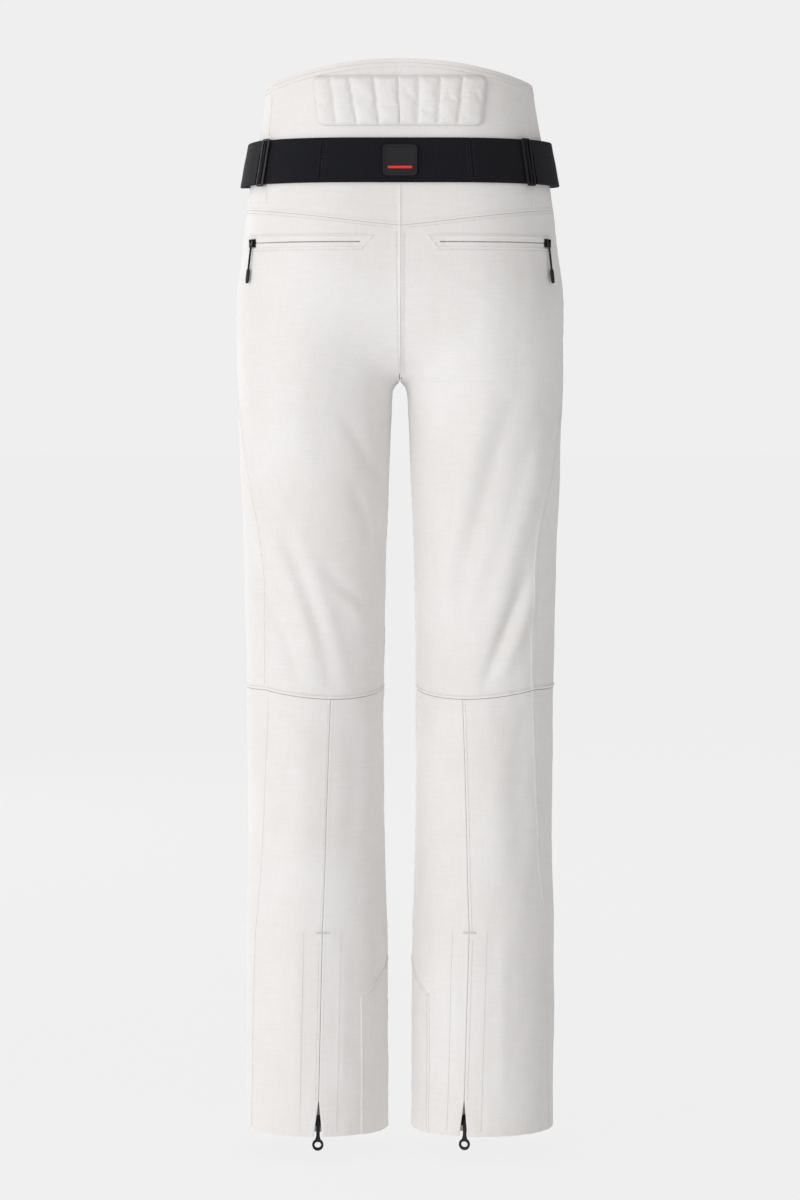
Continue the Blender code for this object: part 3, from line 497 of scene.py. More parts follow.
def ripple(u, z, seed, wavelength):
    """Smooth repeatable waviness from a few crossed sine waves, about -1 to 1."""
    draws = np.random.default_rng(seed)
    total = np.zeros(np.broadcast(u, z).shape)
    for _ in range(7):
        heading, phase = draws.uniform(0, math.pi), draws.uniform(0, 2 * math.pi)
        wave = wavelength * draws.uniform(0.7, 1.6)
        total += np.sin(2 * np.pi * (u * math.cos(heading) + z * math.sin(heading)) / wave + phase)
    return total / 3.5


def folds(side, angle, z, point):
    """How far folds move the cloth out, at points of the plain surface."""
    x, y = np.abs(point[..., 0]), point[..., 1] - knee_offset(z)
    radius = leg_radius(z)
    round_leg_run = np.radians(angle) * radius
    behind = smoothstep(-0.2, 0.3, y / radius)
    before = smoothstep(-0.2, 0.3, -y / radius)
    seed = FOLD_SEED[side]
    total = 0.0005 * ripple(round_leg_run, z * 0.6, seed, 0.07)
    total = total + 0.0002 * ripple(round_leg_run, z * 0.7, seed + 1, 0.022)
    busy = bump(z - KNEE_Z, 0.045) + bump(z - HEM_Z, 0.05)
    busy = busy + bump(z - ANKLE_ZIP_TOP_Z, 0.03) + 0.6 * bump(z - CROTCH_Z, 0.05)
    total = total + 0.00032 * busy * ripple(round_leg_run, z * 0.45, seed + 2, 0.026)
    back = FOLD_GAIN * sum(ridge(x, z, *fold) for fold in BACK_FOLDS[side] + CALF_FOLDS)
    front = FOLD_GAIN * sum(ridge(x, z, *fold) for fold in FRONT_FOLDS)
    total = total + behind * back + before * front
    # The cloth lies flat under the belt and the pad, and behind the zips.
    flat = smoothstep(-0.045, -0.10, z)
    near_pocket = (1 - smoothstep(0.008, 0.022, np.abs(z - POCKET_Z))) * behind
    across = np.radians(angle - calf_seam(side)(z)) * radius
    near_zip = bump(across, 0.014) * smoothstep(-0.75, -0.80, z)
    near_fly = bump(x, 0.014) * before * smoothstep(-0.19, -0.16, z)
    return total * flat * (1 - near_pocket) * (1 - 0.7 * near_zip) * (1 - near_fly)


# Mesh building.


def link(name, mesh, material, body):
    obj = bpy.data.objects.new(name, mesh)
    bpy.context.scene.collection.objects.link(obj)
    obj.data.materials.append(MATERIALS[material])
    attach(obj, body)
    return obj


def mesh_from(name, points, faces, uvs=None, sharp=40):
    mesh = bpy.data.meshes.new(name)
    mesh.from_pydata([tuple(p) for p in points], [], [tuple(f) for f in faces])
    mesh.update()
    if uvs is not None:
        layer = mesh.uv_layers.new(name="UVMap")
        index = np.empty(len(mesh.loops), np.int64)
        mesh.loops.foreach_get("vertex_index", index)
        layer.data.foreach_set("uv", np.asarray(uvs, np.float32)[index].ravel())
    mesh.shade_smooth()
    mesh.set_sharp_from_angle(angle=math.radians(sharp))
    return mesh


def sheet_faces(columns, rows, present, flip, ring=False):
    """Quads of a thick sheet: outer and inner layers and the walls at every open edge."""
    stride = columns if ring else columns + 1
    count = stride * (rows + 1)

    def at(c, r):
        return (c % stride if ring else c) + r * stride

    grid_c, grid_r = np.meshgrid(np.arange(columns), np.arange(rows), indexing="ij")
    c, r = grid_c[present], grid_r[present]
    quad = np.stack([at(c, r), at(c + 1, r), at(c + 1, r + 1), at(c, r + 1)], axis=1)
    faces = [quad, quad[:, ::-1] + count]
    padded = np.zeros((columns + 2, rows + 2), bool)
    padded[1:-1, 1:-1] = present
    if ring:
        padded[0, 1:-1], padded[-1, 1:-1] = present[-1], present[0]
    # Each neighbour's step in columns and rows, and the corners of the quad on that side.
    for dc, dr, first, second in ((0, -1, 0, 1), (1, 0, 1, 2), (0, 1, 2, 3), (-1, 0, 3, 0)):
        edge = present & ~padded[1 + dc : 1 + dc + columns, 1 + dr : 1 + dr + rows]
        picked = edge[present]
        a, b = quad[picked, first], quad[picked, second]
        faces.append(np.stack([b, a, a + count, b + count], axis=1))
    faces = np.concatenate(faces)
    return faces[:, ::-1] if flip else faces


def slab(name, outer, inner, uv, flip, material, nodes=(), body="trousers",
         present=None, ring=False, sharp=40):
    """A thick sheet between two grids of points. present marks its cells, nodes the CAD it replaces."""
    cells = (outer.shape[0] - (not ring), outer.shape[1] - 1)
    present = np.ones(cells, bool) if present is None else present
    faces = sheet_faces(*cells, present, flip, ring)
    used, index = np.unique(faces, return_inverse=True)
    points = np.concatenate([grid.transpose(1, 0, 2).reshape(-1, 3) for grid in (outer, inner)])
    if uv is not None:
        uv = np.stack(np.broadcast_arrays(*uv), axis=-1).transpose(1, 0, 2).reshape(-1, 2)
        uv = np.concatenate([uv, uv])[used]
    mesh = mesh_from(name, points[used], index.reshape(faces.shape), uv, sharp)
    obj = link(name, mesh, material, body)
    if nodes:
        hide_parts(*nodes)
    return obj


def spread(length, step=STEP, near=NEAR_EDGE):
    """Shares of a length, close together near both ends."""
    near = [d for d in near if d < length / 3]
    inner = max(int(round((length - 2 * near[-1]) / step)), 1)
    middle = np.linspace(near[-1], length - near[-1], inner + 1)[1:-1]
    ends = length - np.array(near[::-1])
    return np.concatenate([near, middle, ends]) / length


def knot_rows(knots, lengths, step=STEP):
    """Row places between named rows: 1.25 is a quarter of the way from row 1 to row 2."""
    places = [index + spread(length, step)[:-1] for index, length in enumerate(lengths)]
    return np.concatenate([*places, [len(knots) - 1.0]])


def share_breaks(breaks, width):
    """Column shares with extra closeness at each break."""
    parts = [a + (b - a) * spread((b - a) * width)[:-1] for a, b in zip(breaks, breaks[1:])]
    return np.concatenate([*parts, [1.0]])


def sheet_grid(first, last, shares, knots, places):
    """Angles and heights of a grid between two seams and through rows given as heights by angle."""
    shares, places = np.asarray(shares)[:, None], np.asarray(places)[None, :]
    z = np.full((shares.shape[0], places.shape[1]), knots[0](0.0))
    index = np.minimum(places.astype(int), len(knots) - 2)
    for _ in range(10):
        start = first(z)
        angle = start + (last(z) - start) * shares
        heights = np.stack([np.broadcast_to(knot(angle), z.shape) for knot in knots])
        low, high = (np.choose(at, heights) for at in (index, index + 1))
        z = low + (high - low) * (places - index)
    return angle, z


def border_profile(gap, style, along):
    """The cloth's level near a border: a shallow groove, a raised welt beside it and small puckers."""
    groove, welt = style
    if style == PLAIN:
        return np.zeros_like(gap)
    wander = 2 * np.sin(along * 60)
    pucker = 0.00022 * np.exp(-gap / 0.007) * np.sin(2 * np.pi * along / 0.0125 + wander)
    return welt * bump(gap - 0.0014, 0.0013) - groove * bump(gap, 0.0009) + pucker


def cloth(name, side, first, last, width, knots, lengths, styles, nodes=(), missing=None, extra=None,
          shares=None, levels=(0.0, -CLOTH), material="shell", step=STEP):
    """One tailored panel between two seams and through rows, with folds and worked borders.

    styles are the borders first, last, top and bottom. levels are the faces outside and inside."""
    shares = spread(width, step) if shares is None else shares
    places = knot_rows(knots, lengths, step)
    angle, z = sheet_grid(first, last, shares, knots, places)
    plain = surface(side, angle, z)
    level = folds(side, angle, z, plain)
    u = np.radians(angle) * leg_radius(z)
    borders = (plain[:1], plain[-1:], plain[:, :1], plain[:, -1:])
    for border, style, along in zip(borders, styles, (z, z, u, u)):
        level = level + border_profile(np.linalg.norm(plain - border, axis=-1), style, along)
    if extra is not None:
        level = level + extra(angle, z, u)
    present = None
    if missing is not None:
        middle_c, middle_r = ((values[:-1] + values[1:]) / 2 for values in (shares, places))
        present = ~missing(middle_c[:, None], middle_r[None, :])
    outer, inner = (surface(side, angle, z, level + face) for face in levels)
    return slab(name, outer, inner, (u, z), side == "right", material, nodes, present=present)


# Materials.


def fill(node, **values):
    """Sets sockets by name, with _ for a space, or the node's own settings where it has no such socket."""
    for key, value in values.items():
        socket = node.inputs.get(key.replace("_", " "))
        if socket is None:
            setattr(node, key, value)
        else:
            socket.default_value = value
    return node


def add_node(tree, kind, source=None, target=0, **values):
    """A new node, with source linked to its target socket."""
    node = fill(tree.nodes.new(kind), **values)
    if source is not None:
        tree.links.new(source, node.inputs[target])
    return node


def new_material(name):
    material = bpy.data.materials.new(name)
    material.use_nodes = True
    return material, material.node_tree, material.node_tree.nodes["Principled BSDF"]


def mixed_colour(tree, factor, dark, light):
    ramp = add_node(tree, "ShaderNodeValToRGB", factor)
    for element, colour, position in zip(ramp.color_ramp.elements, (dark, light), (0.3, 0.7)):
        element.color = (*colour, 1)
        element.position = position
    return ramp.outputs["Color"]


def add_heights(tree, first, second, share):
    total = add_node(tree, "ShaderNodeMath", second, operation="MULTIPLY_ADD")
    total.inputs[1].default_value = share
    tree.links.new(first, total.inputs[2])
    return total.outputs[0]


def less(tree, source, amount):
    lower = add_node(tree, "ShaderNodeMath", source, operation="SUBTRACT")
    lower.inputs[1].default_value = amount
    return lower.outputs[0]


def noise_at(tree, place, scale, detail=2.0):
    return add_node(tree, "ShaderNodeTexNoise", place, "Vector", Scale=scale, Detail=detail).outputs["Fac"]


def bump_into(tree, shader, height, strength, distance):
    bumper = add_node(tree, "ShaderNodeBump", height, "Height", Strength=strength, Distance=distance)
    tree.links.new(bumper.outputs[0], shader.inputs["Normal"])


def weave_height(tree, place, scale, turn):
    """Crossed yarns: two bands of waves at right angles, added."""
    bands = []
    for extra in (0.0, math.pi / 2):
        mapping = add_node(tree, "ShaderNodeMapping", place, "Vector", Rotation=(0, 0, turn + extra))
        wave = add_node(tree, "ShaderNodeTexWave", mapping.outputs[0], "Vector", Scale=scale,
                        Distortion=0.6, Detail=1.0, Detail_Scale=2.0)
        bands.append(wave.outputs["Fac"])
    return add_heights(tree, *bands, 1.0)


def fabric(name, colour, tint, roughness, sheen, scale, turn, depth, use_uv=True, variation=0.03):
    """Woven cloth: crossed yarns, slubs, soft sheen and a slow change of colour."""
    material, tree, shader = new_material(name)
    where = add_node(tree, "ShaderNodeTexCoord")
    solid = where.outputs["Object"]
    fine = noise_at(tree, solid, 900.0)
    factor = add_heights(tree, noise_at(tree, solid, 9.0, 3.0), fine, 0.35)
    slubs = []
    for stretch in ((1.0, 1.0, 0.07), (0.07, 0.07, 1.0)):
        mapping = add_node(tree, "ShaderNodeMapping", solid, "Vector", Scale=stretch)
        slubs.append(noise_at(tree, mapping.outputs[0], 620.0))
    factor = less(tree, add_heights(tree, factor, add_heights(tree, *slubs, 1.0), 0.5), 0.675)
    light = tuple(min(c * (1 + variation), 1) for c in colour)
    dark = tuple(c * (1 - variation) * t for c, t in zip(colour, tint))
    tree.links.new(mixed_colour(tree, factor, dark, light), shader.inputs["Base Color"])
    height = weave_height(tree, where.outputs["UV" if use_uv else "Object"], scale, turn)
    bump_into(tree, shader, add_heights(tree, height, fine, 0.8), depth, 0.0002)
    fill(shader, Roughness=roughness, Sheen_Weight=sheen, Sheen_Roughness=0.45, Specular_IOR_Level=0.25)
    return material


def moulded(name, colour, roughness, grain, metallic=0.0, worn=1.35):
    """Moulded or painted parts: fine grain, rubbed lighter edges and uneven gloss."""
    material, tree, shader = new_material(name)
    solid = add_node(tree, "ShaderNodeTexCoord").outputs["Object"]
    slow = noise_at(tree, solid, 120.0, 3.0)
    edge = add_node(tree, "ShaderNodeNewGeometry").outputs["Pointiness"]
    factor = less(tree, add_heights(tree, slow, edge, 0.5), 0.25)
    light = tuple(min(c * worn, 1) for c in colour)
    tree.links.new(mixed_colour(tree, factor, colour, light), shader.inputs["Base Color"])
    gloss = add_node(tree, "ShaderNodeMapRange", slow, "Value", To_Min=roughness - 0.06,
                     To_Max=roughness + 0.08)
    tree.links.new(gloss.outputs[0], shader.inputs["Roughness"])
    bump_into(tree, shader, noise_at(tree, solid, grain), 0.25, 0.00008)
    fill(shader, Metallic=metallic, Specular_IOR_Level=0.3)
    return material


WARM = (1.0, 0.993, 0.98)
COOL = (0.7, 0.7, 0.8)
MATERIALS = {
    "shell": fabric("softshell", (0.804, 0.790, 0.786), WARM, 0.82, 0.25, 300.0, 0.9, 0.30),
    "pad": fabric("quilted_shell", (0.794, 0.780, 0.776), WARM, 0.82, 0.25, 300.0, 0.9, 0.30, False),
    "lining": fabric("mesh_lining", (0.60, 0.60, 0.61), WARM, 0.8, 0.3, 130.0, 0.0, 0.6),
    "gaiter": fabric("ripstop_gaiter", (0.62, 0.62, 0.63), WARM, 0.6, 0.1, 90.0, 0.0, 0.5),
    "webbing": fabric("elastic_webbing", (0.0042, 0.0046, 0.0075), COOL, 0.85, 0.02, 110.0, 0.0, 0.8),
    "thread": fabric("white_thread", (0.745, 0.735, 0.73), WARM, 0.6, 0.2, 500.0, 0.6, 0.2, False),
    "black_thread": fabric("black_thread", (0.016, 0.016, 0.022), WARM, 0.6, 0.05, 500.0, 0.6, 0.2, False,
                           0.3),
    "zip_tape": fabric("zip_tape", (0.66, 0.66, 0.655), WARM, 0.7, 0.2, 220.0, 0.8, 0.5),
    "coil": moulded("nylon_coil", (0.55, 0.55, 0.55), 0.35, 1500.0),
    "dark_metal": moulded("painted_metal", (0.009, 0.009, 0.011), 0.36, 900.0, 0.5, 1.6),
    "puller": moulded("soft_rubber", (0.006, 0.006, 0.008), 0.55, 1500.0),
    "buckle": moulded("acetal_plastic", (0.006, 0.006, 0.008), 0.44, 1200.0),
    "badge": moulded("badge_rubber", (0.0085, 0.0085, 0.0105), 0.6, 1600.0),
    "red_trim": moulded("red_trim", (0.72, 0.028, 0.028), 0.45, 1300.0, 0.0, 1.1),
}


def hand_over_cad_materials():
    """The hard CAD nodes keep their shapes and take the finished materials."""
    for row in frame["record"]["subparts"]:
        obj = bpy.data.objects.get(row["node"])
        if obj is not None and row["material_slot"] in MATERIALS:
            for slot in obj.material_slots:
                slot.material = MATERIALS[row["material_slot"]]


# Panels of the shell, and the lining.


def centre_ridge(side):
    """The centre seam's allowances are taped into a raised line below the belt."""

    def height(angle, z, u):
        gap = np.abs(surface(side, angle, z)[..., 0])
        fade = smoothstep(CROTCH_Z - 0.004, CROTCH_Z + 0.02, z) * smoothstep(-0.020, -0.030, z)
        return 0.0009 * fade * bump(gap, 0.0015)

    return height


def hem_pucker(angle, z, u):
    """Small ripples round the hem."""
    near = np.exp(-((z - HEM_Z) / 0.016))
    return 0.0005 * near * np.sin(u * 2 * np.pi / 0.019 + 1.5 * np.sin(u * 90)) * (z > HEM_Z)


def waistband(angle, z, u):
    """The bound top edge: a slightly thicker band with a groove along each stitch line."""
    below = top_edge(angle) - z
    thicker = 0.0007 * (1 - smoothstep(0.0098, 0.0112, below))
    grooves = sum(0.0005 * bump(below - d, 0.0007) for d in WAIST_STITCHES)
    pucker = 0.0003 * np.sin(u * 2 * np.pi / 0.012) * bump(below - 0.013, 0.006)
    return thicker - grooves + pucker


def back_thigh(side):
    start, end = back_centre(POCKET_Z), side_seam(np.array(POCKET_Z))
    window = [(angle - start) / (end - start) for angle in POCKET_ZIP_ANGLES]
    half = POCKET_WINDOW / 2
    knots = [yoke_seam, level_at(POCKET_Z + half), level_at(POCKET_Z - half), lowered(knee_seam, -SEAM_GAP)]
    width = 0.235

    def missing(share, place):
        return (place > 1) & (place < 2) & (share > window[0]) & (share < window[1])

    cloth(f"back_thigh_panel_{side}", side, back_centre, side_seam, width, knots, (0.018, 0.010, 0.45),
          (PLAIN, WELT, PLAIN, WELT), (f"back_thigh_{side}",), missing, centre_ridge(side),
          share_breaks([0.0, *window, 1.0], width))


def shell_panels(side):
    """The panels without a window, as name, first and last seam, width, rows, lengths, borders, extra."""
    thigh = [yoke_seam, lowered(knee_seam, -SEAM_GAP)]
    calf = [lowered(knee_seam, SEAM_GAP), level_at(HEM_Z)]
    waist = [top_edge, level_at(0.03), lowered(yoke_seam, -SEAM_GAP)]
    ridge_of = centre_ridge(side)

    def band_and_ridge(angle, z, u):
        return waistband(angle, z, u) + ridge_of(angle, z, u)

    back, front = KICK_EDGE[side], 2 * INSEAM - KICK_EDGE[side]
    rows = (
        ("front_thigh", side_seam, fly_edge, 0.24, thigh, (0.49,), (SEAM, SEAM, SEAM, WELT), None),
        ("calf_outer", flap_edge(side, 1), side_seam, 0.085, calf, (0.465,), (FLAP, WELT, PLAIN, FLAP),
         hem_pucker),
        ("calf_inner", level_at(INSEAM), flap_edge(side, -1), 0.10, calf, (0.465,),
         (SEAM, FLAP, PLAIN, FLAP), hem_pucker),
        ("front_shin", side_seam, level_at(INSEAM + 360), 0.26, calf, (0.465,), (PLAIN, SEAM, PLAIN, FLAP),
         hem_pucker),
        ("kick_patch", level_at(front), level_at(back), 0.125, [kick_seam(side), level_at(HEM_Z - 0.0004)],
         (0.14,), (FLAP, FLAP, FLAP, PLAIN), hem_pucker),
        ("waist_back", back_centre, waist_seam, 0.125, waist, (0.07, 0.09), (PLAIN, WELT, PLAIN, WELT),
         band_and_ridge),
        ("waist_front", waist_seam, front_centre, 0.13, waist, (0.04, 0.09), (PLAIN, SEAM, PLAIN, WELT),
         waistband),
    )
    for name, first, last, width, knots, lengths, styles, extra in rows:
        node = name if name == "waist_back" else f"{name}_{side}"
        levels = KICK_LEVELS if name == "kick_patch" else (0.0, -CLOTH)
        cloth(f"{name}_panel_{side}", side, first, last, width, knots, lengths, styles, (node,), None, extra,
              levels=levels)


def lining(side):
    """The body, open behind the zips, and a cuff for the lower end, open where the ankle zip runs."""
    # Its seams lie beside the shell's, so no light comes through both.
    past = 0.5 if side == "left" else -0.5
    rows = [lowered(top_edge, 0.010), yoke_seam, level_at(-0.79)]

    def first(z):
        return back_centre(z) - past + 0.03

    def last(z):
        return front_centre(z) + past - 0.03

    def missing(share, place):
        angle, z = sheet_grid(first, last, share[:, 0], rows, place[0])
        point = surface(side, angle, z)
        pocket = (np.abs(z - POCKET_Z) < 0.009) & (angle > POCKET_ZIP_ANGLES[0] - 5)
        pocket &= angle < POCKET_ZIP_ANGLES[1] + 5
        fly = (np.abs(point[..., 0]) < 0.008) & (angle > 180) & (z < -0.040) & (z > -0.165)
        return pocket | fly

    start = calf_seam(side)
    cuff_edges = shifted(start, CUFF_GAP), shifted(lambda z: start(z) + 360, -CUFF_GAP)
    cuff = [level_at(-0.789), level_at(HEM_Z + 0.006)]
    for name, edges, width, knots, lengths, cut in (
        ("body", (first, last), 0.46, rows, (0.13, 0.73), missing),
        ("cuff", cuff_edges, 0.43, cuff, (0.21,), None),
    ):
        cloth(f"lining_{name}_{side}", side, *edges, width, knots, lengths, NO_BORDERS, (), cut,
              levels=LINING_LEVELS, material="lining", step=LINING_STEP)


def pocket_bag(side):
    first, last = POCKET_ZIP_ANGLES
    cloth(f"pocket_bag_mesh_{side}", side, level_at(first - 3), level_at(last + 3), 0.15,
          [level_at(-0.073), level_at(-0.185)], (0.112,), NO_BORDERS, (f"pocket_bag_{side}",),
          levels=(-0.0070, -0.0079), material="lining", step=0.005)


def snow_gaiter(side):
    """Elastic cuff that grips the boot, gathered into ruffles between its two bands."""
    angle, z = np.meshgrid(np.linspace(0, 360, 144, endpoint=False), np.linspace(-0.872, -1.0, 44),
                           indexing="ij")
    free = smoothstep(-0.876, -0.892, z) * smoothstep(-0.996, -0.978, z)
    ruffle = 0.0011 * free * np.sin(np.radians(angle * 28) + 1.3 * np.sin(np.radians(angle * 3)))
    ribs = 0.0004 * (1 - free) * np.sin(np.radians(angle * 72))
    level = GAITER_LEVEL + ruffle + ribs + 0.0006 * free * np.sin(z * 160)
    outer, inner = surface(side, angle, z, level), surface(side, angle, z, level - 0.0008)
    slab(f"snow_gaiter_cuff_{side}", outer, inner, (np.radians(angle) * 0.058, z), side == "right",
         "gaiter", (f"snow_gaiter_{side}",), ring=True)


# Thread, teeth and other small repeated pieces.


def capsules(name, starts, ends, ups, size, material, body="trousers"):
    """Short rounded rods from starts to ends, as one mesh. size is (width, height)."""
    along = ends - starts
    ups = np.broadcast_to(ups, starts.shape)
    across = np.cross(along, ups)
    across /= np.linalg.norm(across, axis=1, keepdims=True)
    ups = np.cross(across, along)
    ups /= np.linalg.norm(ups, axis=1, keepdims=True)
    turns = np.arange(6) * math.pi / 3
    ring = across[:, None] * np.cos(turns)[None, :, None] * size[0] / 2
    ring = ring + ups[:, None] * np.sin(turns)[None, :, None] * size[1] / 2
    low, high = ((starts + along * share)[:, None] + ring for share in (0.16, 0.84))
    dip = ups * size[1] * 0.3
    points = np.concatenate([(starts - dip)[:, None], low, high, (ends - dip)[:, None]], axis=1)
    faces = []
    for i in range(6):
        j = (i + 1) % 6
        faces += [(0, 1 + j, 1 + i, 1 + i), (1 + i, 1 + j, 7 + j, 7 + i), (7 + i, 7 + j, 13, 13)]
    faces = (np.array(faces)[None] + 14 * np.arange(len(starts))[:, None, None]).reshape(-1, 4)
    tidy = [tuple(dict.fromkeys(face)) for face in faces.tolist()]
    link(name, mesh_from(name, points.reshape(-1, 3), tidy, sharp=180), material, body)


def resample(points, normals, pitch, length):
    """Starts, ends and normals of stitches of this length, one every pitch along a path."""
    steps = np.linalg.norm(np.diff(points, axis=0), axis=1)
    run = np.concatenate([[0], np.cumsum(steps)])
    at = np.arange(pitch / 2, run[-1] - length, pitch)

    def read(values, where):
        return np.stack([np.interp(where, run, values[:, k]) for k in range(3)], axis=1)

    return read(points, at), read(points, at + length), read(normals, at)


def stitch(name, paths, material="thread", body="trousers", pitch=STITCH_PITCH,
           length=STITCH_LENGTH):
    """Stitches along paths, which are points on the cloth with its normals."""
    parts = [resample(*path, pitch, length) for path in paths]
    starts, ends, ups = [np.concatenate(group) for group in zip(*parts)]
    capsules(name, starts, ends, ups, THREAD, material, body)


def seam_path(side, angle, z, level=STITCH_LEVEL):
    """A path on the folded cloth."""
    angle, z = np.broadcast_arrays(np.asarray(angle, float), np.asarray(z, float))
    lift = level + folds(side, angle, z, surface(side, angle, z))
    return surface(side, angle, z, lift), outward(side, angle, z)


def down(top, bottom, step=0.004):
    return np.linspace(top, bottom, max(int(abs(top - bottom) / step), 2))


def beside(side, seam, across, top, bottom, level=STITCH_LEVEL):
    z = down(top, bottom)
    return seam_path(side, seam(z) + np.degrees(across / leg_radius(z)), z, level)


def round_leg(side, row, drop, first, last, level=STITCH_LEVEL):
    angle = np.linspace(first, last, max(int(abs(last - first) / 2), 3))
    return seam_path(side, angle, row(angle) - drop, level)


def panel_stitches(side):
    kick_back, kick_front = KICK_EDGE[side], 2 * INSEAM - KICK_EDGE[side]
    back_top = read_at(back_centre, BACK_TOP_Z - 0.005)
    front_top = read_at(front_centre, FRONT_TOP_Z - 0.005)
    yoke_back = read_at(back_centre, YOKE_CENTRE_Z) + 3
    yoke_front = float(angle_at_x(0.012, YOKE_SIDE_Z, -1))
    seam, foot, zip_top = calf_seam(side), HEM_Z + 0.003, ANKLE_ZIP_TOP_Z

    def seat(z):
        return angle_at_x(0.0042, z, 1)

    groups = {
        "waistband": [
            round_leg(side, top_edge, drop, back_top, front_top, 0.0007) for drop in WAIST_STITCHES
        ],
        "yoke": [round_leg(side, yoke_seam, STITCH_GAP, yoke_back, yoke_front)],
        "side_seam": [
            beside(side, side_seam, STITCH_GAP, YOKE_SIDE_Z - 0.004, KNEE_Z + 0.004),
            beside(side, side_seam, -STITCH_GAP, KNEE_Z - 0.006, foot),
            beside(side, waist_seam, -STITCH_GAP, SIDE_TOP_Z - 0.012, YOKE_SIDE_Z + 0.004),
        ],
        "knee": [round_leg(side, knee_seam, -0.0034, INSEAM + 3, 267, 0.0009)],
        "placket": [
            beside(side, seam, 0.0028, KNEE_Z - 0.012, zip_top - 0.001),
            beside(side, seam, -PLACKET[side], zip_top + 0.004, foot),
            beside(side, seam, PLACKET[side], zip_top + 0.004, foot),
            beside(side, seam, 0.0036, zip_top - 0.006, ANKLE_OPENING_Z),
        ],
        "kick_patch": [
            round_leg(side, kick_seam(side), STITCH_GAP, kick_front + 1.5, kick_back - 1.5,
                      FLAP_STITCH_LEVEL),
            beside(side, level_at(kick_back), -STITCH_GAP, KICK_Z - 0.004, foot, FLAP_STITCH_LEVEL),
            beside(side, level_at(kick_front), STITCH_GAP, KICK_Z - 0.004, foot, FLAP_STITCH_LEVEL),
        ],
        "seat_seam": [beside(side, seat, 0.0, YOKE_CENTRE_Z - 0.004, CROTCH_Z + 0.008, 0.0009)],
    }
    for name, paths in groups.items():
        stitch(f"{name}_stitches_{side}", paths)


def fly_stitches():
    """The J-shaped line beside the fly, on the wearer's left."""
    top, bend, half, drop = -0.052, -0.128, 0.034, 0.034
    turn, straight = np.linspace(0, math.pi / 2, 12), down(top, bend)
    z = np.concatenate([straight, bend - drop * np.sin(turn)])
    x = np.concatenate([np.full(len(straight), half), half * np.cos(turn) + 0.0005])
    stitch("fly_stitches", [seam_path("left", angle_at_x(x, z, -1), z)])


def bartack(side):
    """A dense block of stitches across the top of the ankle zip."""
    z, width, height, lean = ANKLE_ZIP_TOP_Z + 0.001, 0.013, 0.0022, 0.0002
    count = int(width / 0.00055)
    at = np.linspace(-width / 2, width / 2, count)
    angle = read_at(calf_seam(side), ANKLE_ZIP_TOP_Z)
    ends = []
    for sign in (-1, 1):
        turn = np.degrees((at + sign * lean) / read_at(leg_radius, z))
        ends.append(seam_path(side, angle + turn, z + np.full(count, sign * height / 2), 0.0008))
    (low, up), (high, _) = ends
    capsules(f"ankle_bartack_{side}", low, high, up, (0.0006, 0.0006), "thread")


def pocket_stitches(side):
    first, last = POCKET_ZIP_ANGLES
    angle = np.linspace(first - 1.5, last + 1.2, 60)
    lines = [seam_path(side, angle, np.full(60, POCKET_Z + drop)) for drop in (0.0082, -0.0082)]
    stitch(f"pocket_stitches_{side}", lines)


# Zips.


def zip_ribbon(name, place, length, width, stop=0.004):
    """Two woven tapes with beaded lips and a nylon coil. place(along, across, out) gives points."""
    half = width / 2
    sides = [half, half - 0.0004, half * 0.8, 0.0030, 0.0024, 0.0018, 0.0012, 0.0008, ZIP_SLOT_HALF]
    across = np.array([-s for s in sides] + sides[::-1])
    middle = np.linspace(stop, length - stop, int(length / 0.0035))
    along = np.concatenate([[0, stop / 2], middle, [length - stop / 2, length]])
    bead = ZIP_TAPE_HALF + (ZIP_CHAIN_HALF - ZIP_TAPE_HALF) * bump(np.abs(across) - 0.0015, 0.0009)
    bead = np.where(np.abs(across) > half - 0.0002, bead * 0.6, bead)
    grid_a, grid_b = np.meshgrid(across, along, indexing="ij")
    depth = np.broadcast_to(bead[:, None], grid_a.shape)
    outer, inner = place(grid_b, grid_a, depth), place(grid_b, grid_a, -depth)
    present = np.ones((len(across) - 1, len(along) - 1), bool)
    present[len(sides) - 1, 2:-2] = False
    slab(f"{name}_tapes", outer, inner, (grid_a, grid_b), facing_flip(outer, place), "zip_tape",
         (name,), present=present)
    at = np.arange(stop + 0.0008, length - stop - 0.0004, TEETH_PITCH)
    zero, half_tooth, lean = np.zeros(len(at)), 0.0015, 0.0003
    starts, ends = place(at - lean, zero - half_tooth, zero), place(at + lean, zero + half_tooth, zero)
    ups = place(at, zero, zero + 0.001) - place(at, zero, zero)
    capsules(f"{name}_coil", starts, ends, ups, (0.0009, 0.0011), "coil")


def facing_flip(outer, place):
    """Whether the grid's own turn faces inward."""
    zero = np.zeros(1)
    out = (place(zero, zero, zero + 0.001) - place(zero, zero, zero))[0]
    turn = np.cross(outer[1, 0] - outer[0, 0], outer[0, 1] - outer[0, 0])
    return bool(np.dot(turn, out) < 0)


def zip_track(side):
    """Places (along, across, out) on the cylinder that the pocket's slider follows."""
    radius, centre = (read_at(shape, POCKET_Z) for shape in (leg_radius, leg_centre))

    def place(along, across, out):
        turn, reach = np.radians(POCKET_ZIP_ANGLES[0]) + along / radius, radius + out
        x = SIDES[side] * (centre + reach * np.sin(turn))
        return np.stack([x, reach * np.cos(turn), POCKET_Z + across], axis=-1)

    return place, radius


def pocket_zip(side):
    track, radius = zip_track(side)
    first, last = POCKET_ZIP_ANGLES
    gap = 0.0010

    def place(along, across, out):
        return track(along + gap, across, FLUSH_LEVEL + out)

    zip_ribbon(f"pocket_zip_{side}", place, math.radians(last - first) * radius - 2 * gap, ZIP_WIDTH)


